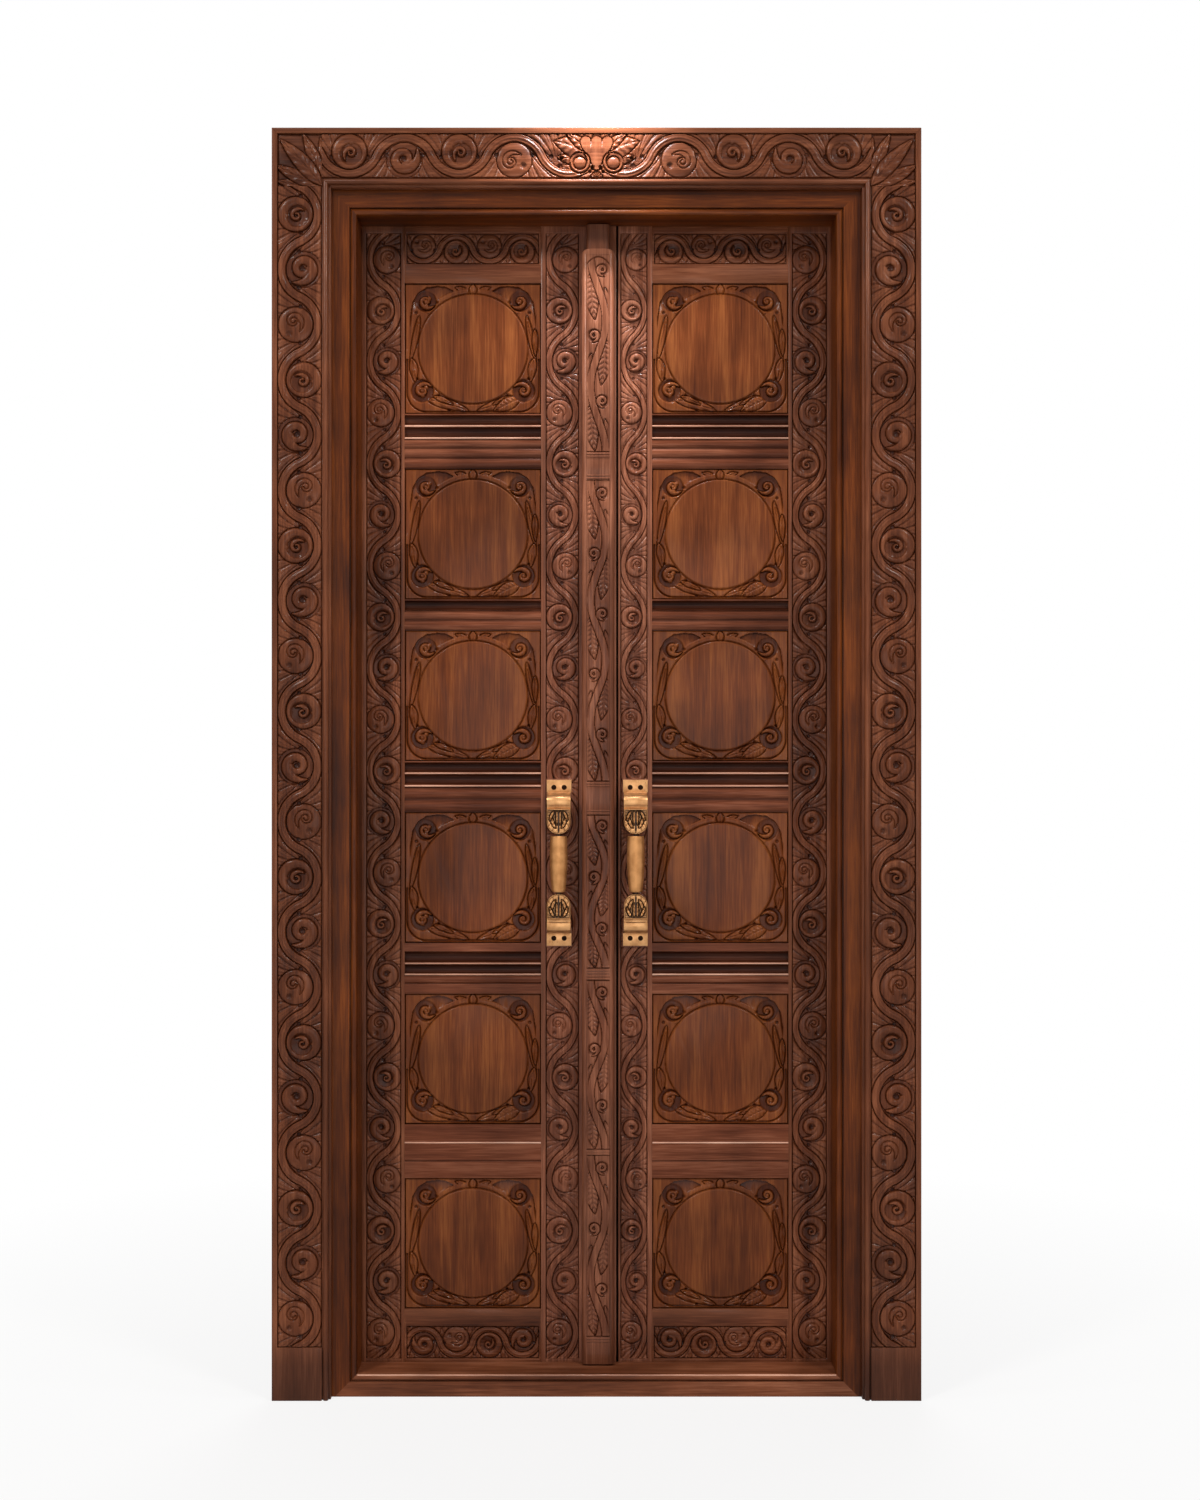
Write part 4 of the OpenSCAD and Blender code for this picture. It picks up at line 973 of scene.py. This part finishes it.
def centre_bar():
    """Body of the bar with its rounded shoulder, its neck with painted shadow from the head, its carved spans
    and the ribs between.
    """
    tall = BAR_HIGH - BAR_LOW
    shoulder = BAR_HIGH - BAR_NECK
    half, neck_half = 0.5 * BAR_W, 0.5 * BAR_NECK_W
    body = bar_length("bar", BAR_W, (BAR_LOW, shoulder - BAR_ROUND))
    parts = []
    turns = np.linspace(0.0, math.pi / 2, 9)
    for turn in zip(turns[:-1], turns[1:]):
        wide = 2.0 * (neck_half + (half - neck_half) * math.cos(turn[1]))
        span = [shoulder - BAR_ROUND + BAR_ROUND * math.sin(a) for a in turn]
        parts.append(bar_length("bar_shoulder", wide, span))
    neck = bar_length("bar_neck", BAR_NECK_W, (shoulder, BAR_HIGH))
    # The neck is marked for painted shadow from the head
    parts.append(mark_hollows(neck, BAR_FRONT - 7.0, 10.0))
    spans = [(BAR_LOW + a * tall, BAR_LOW + b * tall) for a, b in BAR_SPANS]
    across = (BAR_X - 0.5 * BAR_BAND, BAR_X + 0.5 * BAR_BAND)
    pockets = boxes("pockets", [(across, (BAR_FRONT - 9, BAR_FRONT + BAR_GROUND), span) for span in spans])
    parts.append(cut_and_eased(body, "bar", pockets, 0.6))
    heights = [end + turn * gap for low, high in spans
               for end, turn in ((low, -1.0), (high, 1.0)) for gap in (3.0, 8.0)]
    ribs = [(across, (BAR_FRONT - 1.4, BAR_FRONT + 1.0), (z - 1.4, z + 1.4))
            for z in heights if z < spans[-1][1]]
    parts.append(cut_and_eased(boxes("bar_ribs", ribs), "bar_ribs", None, 0.9))
    for i, (low, high) in enumerate(spans):
        bends = max(2, int(round((high - low) / BAR_BEND)))
        arch = BAR_ARCH if i == len(spans) - 1 else 0.0
        s, t, height = bar_front(low + SLACK, high - SLACK, BAR_BAND - 2 * SLACK, BAR_GROUND, bends, arch)
        parts.append(carved_field(f"bar_{i}", t + BAR_X, s, height, BAR_FRONT, BAR_GROUND, 0.5, True))
    return parts


def bead(x, y, z):
    """Thin bead along x, with its middle at y and z; it carries a painted highlight."""
    turns = np.linspace(0.0, 2.0 * math.pi, 15)[:-1]
    outline = [(y + BEAD_R * math.cos(a), z + BEAD_R * math.sin(a)) for a in turns]
    return prism("bead", outline, x, lambda p, w: (w, p[0], p[1]))


both_hands("carved_hinge_stile", stile("hinge_stile", (-LEAF_EDGE, -PANEL_OUT), *HINGE_BAND, hinged=True),
           leaf_upright, "{}_leaf", "leaf_wood", "{}_hinge_stile")
for hand, edges, band in (("left", (-PANEL_IN, LEFT_EDGE), LEFT_BAND),
                          ("right", (RIGHT_EDGE, PANEL_IN), RIGHT_BAND)):
    piece(f"carved_meeting_stile_{hand}", stile(f"meeting_stile_{hand}", edges, *band, handle=PULL_X[hand]),
          meeting_lit_upright, f"{hand}_leaf", "leaf_wood", f"{hand}_meeting_stile")
piece("carved_centre_bar", centre_bar(), bar_upright, "left_leaf", "leaf_wood", "centre_bar")

# Dark sheet in the gap between the leaves: painted shade
strip = boxes("strip", [((LEFT_EDGE + STRIP_GAP, RIGHT_EDGE), STRIP_Y,
                         (LEAF_LOW - STRIP_OVER, LEAF_HIGH + STRIP_OVER))])
piece("draught_strip", [strip], dark_felt, "right_leaf", "leaf_wood")

# End rails: low and high edges, the foot and width of the carved band, its roundels, and its first bow
RAILS = (("top", 2128.5, LEAF_HIGH, 2165.5, 59.5, (0, 2, 0, 2), False),
         ("bottom", LEAF_LOW, 143.7, 47.0, 63.0, (1, 0, 2, 1), True))
for label, *sizes in RAILS:
    both_hands(f"carved_{label}_rail", end_rail(label + "_rail", *sizes), leaf_level, "{}_leaf", "leaf_wood",
               "{}_" + label + "_rail")

# Pale beads on the rail fillets and the sill's edge: painted highlights
beads = [bead((-PANEL_OUT + 0.4, -PANEL_IN - 0.4), LEAF_FRONT + 0.9, z) for z in BEAD_HEIGHTS]
both_hands("rail_beads", beads, highlight_bead_level, "{}_leaf", "leaf_wood")
piece("sill_bead", [bead(*SILL_BEAD)], highlight_bead_level, "frame", "frame_wood")

panel = medallion()
tongue = boxes("tongue", [((-PANEL_W / 2 - TONGUE, PANEL_W / 2 + TONGUE), TONGUE_Y,
                           (-PANEL_H / 2 - TONGUE, PANEL_H / 2 + TONGUE))])
for hand in ("left", "right"):
    for row in range(1, PANEL_ROWS + 1):
        low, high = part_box(f"{hand}_panel_{row}")
        middle = (low + high) / (2 * MM)
        parts = [moved(m, f"{hand}_{row}", middle.x, middle.z) for m in (panel, tongue)]
        piece(f"medallion_{hand}_{row}", parts, medallion_wood, f"{hand}_leaf", "panel_wood",
              f"{hand}_panel_{row}")


# Pull handles

# Sizes of a pull: the cap's top, middle and foot below the pull's end, the radius of its round end and how
# far it stands out, then half the foot's width, the places of the screws and the radius of the pin
CAP_TOP = 55.0
CAP_MIDDLE = 80.75
CAP_LOW = 103.6
CAP_R = 23.0
CAP_FACE = 46.0
FOOT_HALF = 24.0
SCREW_ACROSS = 10.0
SCREW_DOWN = 14.7
PIN_R = 4.4


def cap_front():
    """Shield on the cap of a bracket, made to look pierced by painted shade in its low parts: v down from the
    foot, x across.
    """
    top, centre, low, half = CAP_TOP, CAP_MIDDLE, CAP_LOW, CAP_R
    rows, cols = 96, 92
    v = np.linspace(top, low, rows)
    w = np.where(v < centre, half, np.sqrt(np.clip(half * half - (v - centre) ** 2, 0.09, None)))
    x = np.linspace(-1, 1, cols)[None, :] * w[:, None]
    v = np.repeat(v[:, None], cols, 1)
    edge = np.where(v < centre, np.minimum(half - np.abs(x), v - top), half - np.hypot(x, v - centre))
    rim = 5.0 * bulge((edge - 1.3) / 1.3)
    a = np.abs(x)
    inside = 4.4 * feathers(a, -v, (0.0, -58.0), -1.0, 1.0, 16.0) / 0.8
    for form in (((3.2, -60), (3.6, -86), 4.6, 0.1, 3), ((6, -92), (13, -70), 5.0, 0.3, 3),
                 ((9, -60), (17, -78), 4.6, -0.2, 3)):
        inside = with_leaf(inside, a, -v, 4.6, *form, groove=0.9)
    slot = (a < 1.6) & (v > 62.0) & (v < 97.0)
    inside = np.where(slot, 0.0, inside) * (edge > 2.6)
    return x, v, np.maximum(rim, 0.5 * (edge > 2.6) + inside)


def bracket(x, side):
    """Bracket of a pull: foot, sloping strap, band and carved cap; side is 1 above the grip."""
    top = HANDLE_Z + side * 0.5 * HANDLE_H

    def place(p, across):
        return (x + across, LEAF_FRONT - p[0], top - side * p[1])

    foot = prism("foot", [(0, 0), (4, 0), (4, 24.5), (0, 24.5)], (-FOOT_HALF, FOOT_HALF), place)
    foot = cut_and_eased(foot, "foot", None, 0.7)
    strap_side = [(0.2, 20.5), (3.4, 20.5), (4, 24.5), (22, 26), (33, 28.6), (39.5, 32.2), (42.4, 36.2),
                  (43, 40), (43, 48), (39, 48), (39, 57), (37, 57), (0.2, 32.5)]
    web = cut_and_eased(prism("web", strap_side, (-22.9, 22.9), place), "web", None, 1.1)
    arc = [(-CAP_R * math.cos(a), CAP_MIDDLE + CAP_R * math.sin(a)) for a in np.linspace(0.0, math.pi, 25)]
    back = prism("cap", [(-CAP_R, CAP_TOP), *arc, (CAP_R, CAP_TOP)], (39.0, CAP_FACE),
                 lambda p, out: place((out, p[1]), p[0]))
    across, down, tall = cap_front()
    front = grid_mesh("cap_front", x + across, LEAF_FRONT - CAP_FACE - tall, top - side * down, side < 0)
    front = thinned(front, "cap_front", 0.6)
    # Low parts of the shield are marked for painted shade
    mark_hollows(front, LEAF_FRONT - CAP_FACE - 5.0, 5.0)
    return [foot, web, cut_and_eased(back, "cap", None, 0.6), backed(front, LEAF_FRONT - CAP_FACE + 1.0)]


def screw_heads(x):
    """Sunk heads of the four screws of a pull, finished dark as painted shade in the screw holes."""
    bm = bmesh.new()
    for side in (-1.0, 1.0):
        for across in (-SCREW_ACROSS, SCREW_ACROSS):
            head = bmesh.ops.create_cone(bm, cap_ends=True, segments=28, radius1=5.4 * MM, radius2=4.9 * MM,
                                         depth=2.0 * MM)
            z = HANDLE_Z + side * (0.5 * HANDLE_H - SCREW_DOWN)
            for point in head["verts"]:
                u, v, w = point.co
                point.co = ((x + across) * MM + u, (LEAF_FRONT - 3.3) * MM - w, z * MM + v)
    return closed(bm, bpy.data.meshes.new("screw_heads"))


def grip(x):
    """Turned grip, thickest above its middle, on a pin that is marked for painted shade between it and the
    caps.
    """
    length, belly, slim = 106.5, 17.0, 4.4
    half = 0.5 * length
    z = np.array([-half - 14.0, -half - 0.5, -half - 0.5, -half, *np.linspace(-half + 1.2, half - 1.2, 33),
                  half, half + 0.5, half + 0.5, half + 14.0])
    r = belly - slim * ((z / half - 0.3) / 1.3) ** 2
    r[[0, 1, -2, -1]] = PIN_R
    r[[2, 3, -4, -3]] -= 1.2
    turn = np.linspace(0.0, 2.0 * math.pi, 49)
    mesh = grid_mesh("grip", x + np.outer(np.cos(turn), r), LEAF_FRONT - 45.0 + np.outer(np.sin(turn), r),
                     HANDLE_Z + np.outer(np.ones_like(turn), z), False)
    bm = bmesh.new()
    bm.from_mesh(mesh)
    bmesh.ops.remove_doubles(bm, verts=bm.verts, dist=0.01 * MM)
    bmesh.ops.holes_fill(bm, edges=[e for e in bm.edges if e.is_boundary])
    closed(bm, mesh)
    # The pin is marked for painted shade in the gaps
    return marked(mesh, np.abs(points_on(mesh, 2) - HANDLE_Z) > half + 0.4)


for hand, x in PULL_X.items():
    for label, side in (("upper", 1.0), ("lower", -1.0)):
        piece(f"{hand}_pull_{label}_bracket", bracket(x, side), pull_carved, f"{hand}_leaf", "handle_brass",
              f"{hand}_handle_{label}_bracket", sharp=35.0)
for hand, x in PULL_X.items():
    piece(f"{hand}_pull_grip", [grip(x)], pull_brass, f"{hand}_leaf", "handle_brass", f"{hand}_handle_grip")
    piece(f"{hand}_pull_screws", [screw_heads(x)], dark_screws, f"{hand}_leaf", "handle_brass",
          f"{hand}_handle_screws")


# Finishes of the solids that stay

STAYING = (("hinge", hinge_brass), ("left_jamb", jamb_upright), ("right_jamb", jamb_upright),
           ("head_jamb", jamb_level), ("sill", sill_level), ("rail", rail_level))
for name, node in frame["nodes"].items():
    for words, finish in STAYING:
        if words in name:
            node.data.materials.clear()
            node.data.materials.append(finish)
            break


# Floor, light and camera


def white_to_camera(tree, shader, white_kind, share=1.0):
    """Shows a shader, by a share, as plain white to camera, mirror and glass rays."""
    path = add_node(tree, "ShaderNodeLightPath").outputs
    seen = path["Is Camera Ray"]
    for ray in ("Is Glossy Ray", "Is Transmission Ray"):
        seen = add_node(tree, "ShaderNodeMath", {0: seen, 1: path[ray]}, operation="MAXIMUM").outputs[0]
    seen = add_node(tree, "ShaderNodeMath", {0: seen, 1: share}, operation="MULTIPLY").outputs[0]
    white = add_node(tree, white_kind, {"Color": (1.0, 1.0, 1.0, 1.0), "Strength": 1.0})
    return add_node(tree, "ShaderNodeMixShader", {0: seen, 1: shader, 2: white.outputs[0]}).outputs[0]


floor_mesh = bpy.data.meshes.new("pale_floor")
floor_mesh.from_pydata([(-9, -9, 0), (9, -9, 0), (9, 9, 0), (-9, 9, 0)], [], [(0, 1, 2, 3)])
floor = linked(floor_mesh, "pale_floor")
paint = Finish("pale_floor")
paint.fix({"Base Color": (0.86, 0.86, 0.86, 1.0), "Roughness": 0.8})
from_door = paint.add("ShaderNodeVectorMath", {0: paint.place()}, operation="LENGTH").outputs["Value"]
bare = paint.spread(from_door, 0.5, 2.2, 0.8, 1.0)
paint.tree.links.new(white_to_camera(paint.tree, paint.shader.outputs[0], "ShaderNodeEmission", bare),
                     paint.tree.nodes["Material Output"].inputs["Surface"])
floor_mesh.materials.append(paint.material)

world = bpy.data.worlds.new("studio")
scene.world = world
world.use_nodes = True
sky = world.node_tree
sky.nodes["Background"].inputs["Color"].default_value = (1.0, 1.0, 1.0, 1.0)
sky.nodes["Background"].inputs["Strength"].default_value = 0.15
sky.links.new(white_to_camera(sky, sky.nodes["Background"].outputs[0], "ShaderNodeBackground"),
              sky.nodes["World Output"].inputs["Surface"])


def soft_lamp(name, at, to, size, power, colour=(1.0, 1.0, 1.0), beam=180.0):
    lamp = bpy.data.lights.new(name, "AREA")
    lamp.shape = "RECTANGLE"
    lamp.size, lamp.size_y = size
    lamp.energy = power
    lamp.color = colour
    lamp.spread = math.radians(beam)
    obj = bpy.data.objects.new(name, lamp)
    obj.location = at
    obj.rotation_euler = (Vector(to) - Vector(at)).to_track_quat("-Z", "Y").to_euler()
    scene.collection.objects.link(obj)


soft_lamp("key_left", (-3.2, -3.8, 5.2), (0.0, 0.0, 1.1), (1.2, 1.2), 180.0, (1.0, 0.96, 0.92))
soft_lamp("key_right", (3.2, -3.8, 5.2), (0.0, 0.0, 1.1), (1.2, 1.2), 150.0, (1.0, 0.96, 0.92))
soft_lamp("fill", (0.0, -4.4, 1.2), (0.0, 0.0, 1.0), (1.8, 1.8), 21.0)
soft_lamp("top", (0.0, -0.17, 2.58), (0.0, -0.03, 2.3), (0.16, 0.08), 2.1, (0.98, 1.0, 1.06), 80.0)
soft_lamp("rear", (0.5, 4.0, 3.6), (0.0, 0.1, 1.2), (2.5, 2.5), 90.0)

camera = bpy.data.cameras.new("camera")
camera.lens = 46.2
camera.shift_x = 0.0023
camera.shift_y = 0.009
eye = bpy.data.objects.new("camera", camera)
eye.location = (0.0, -3.655, 1.199)
eye.rotation_euler = (math.pi / 2, 0.0, 0.0)
scene.collection.objects.link(eye)
scene.camera = eye

scene.view_settings.view_transform = "Standard"
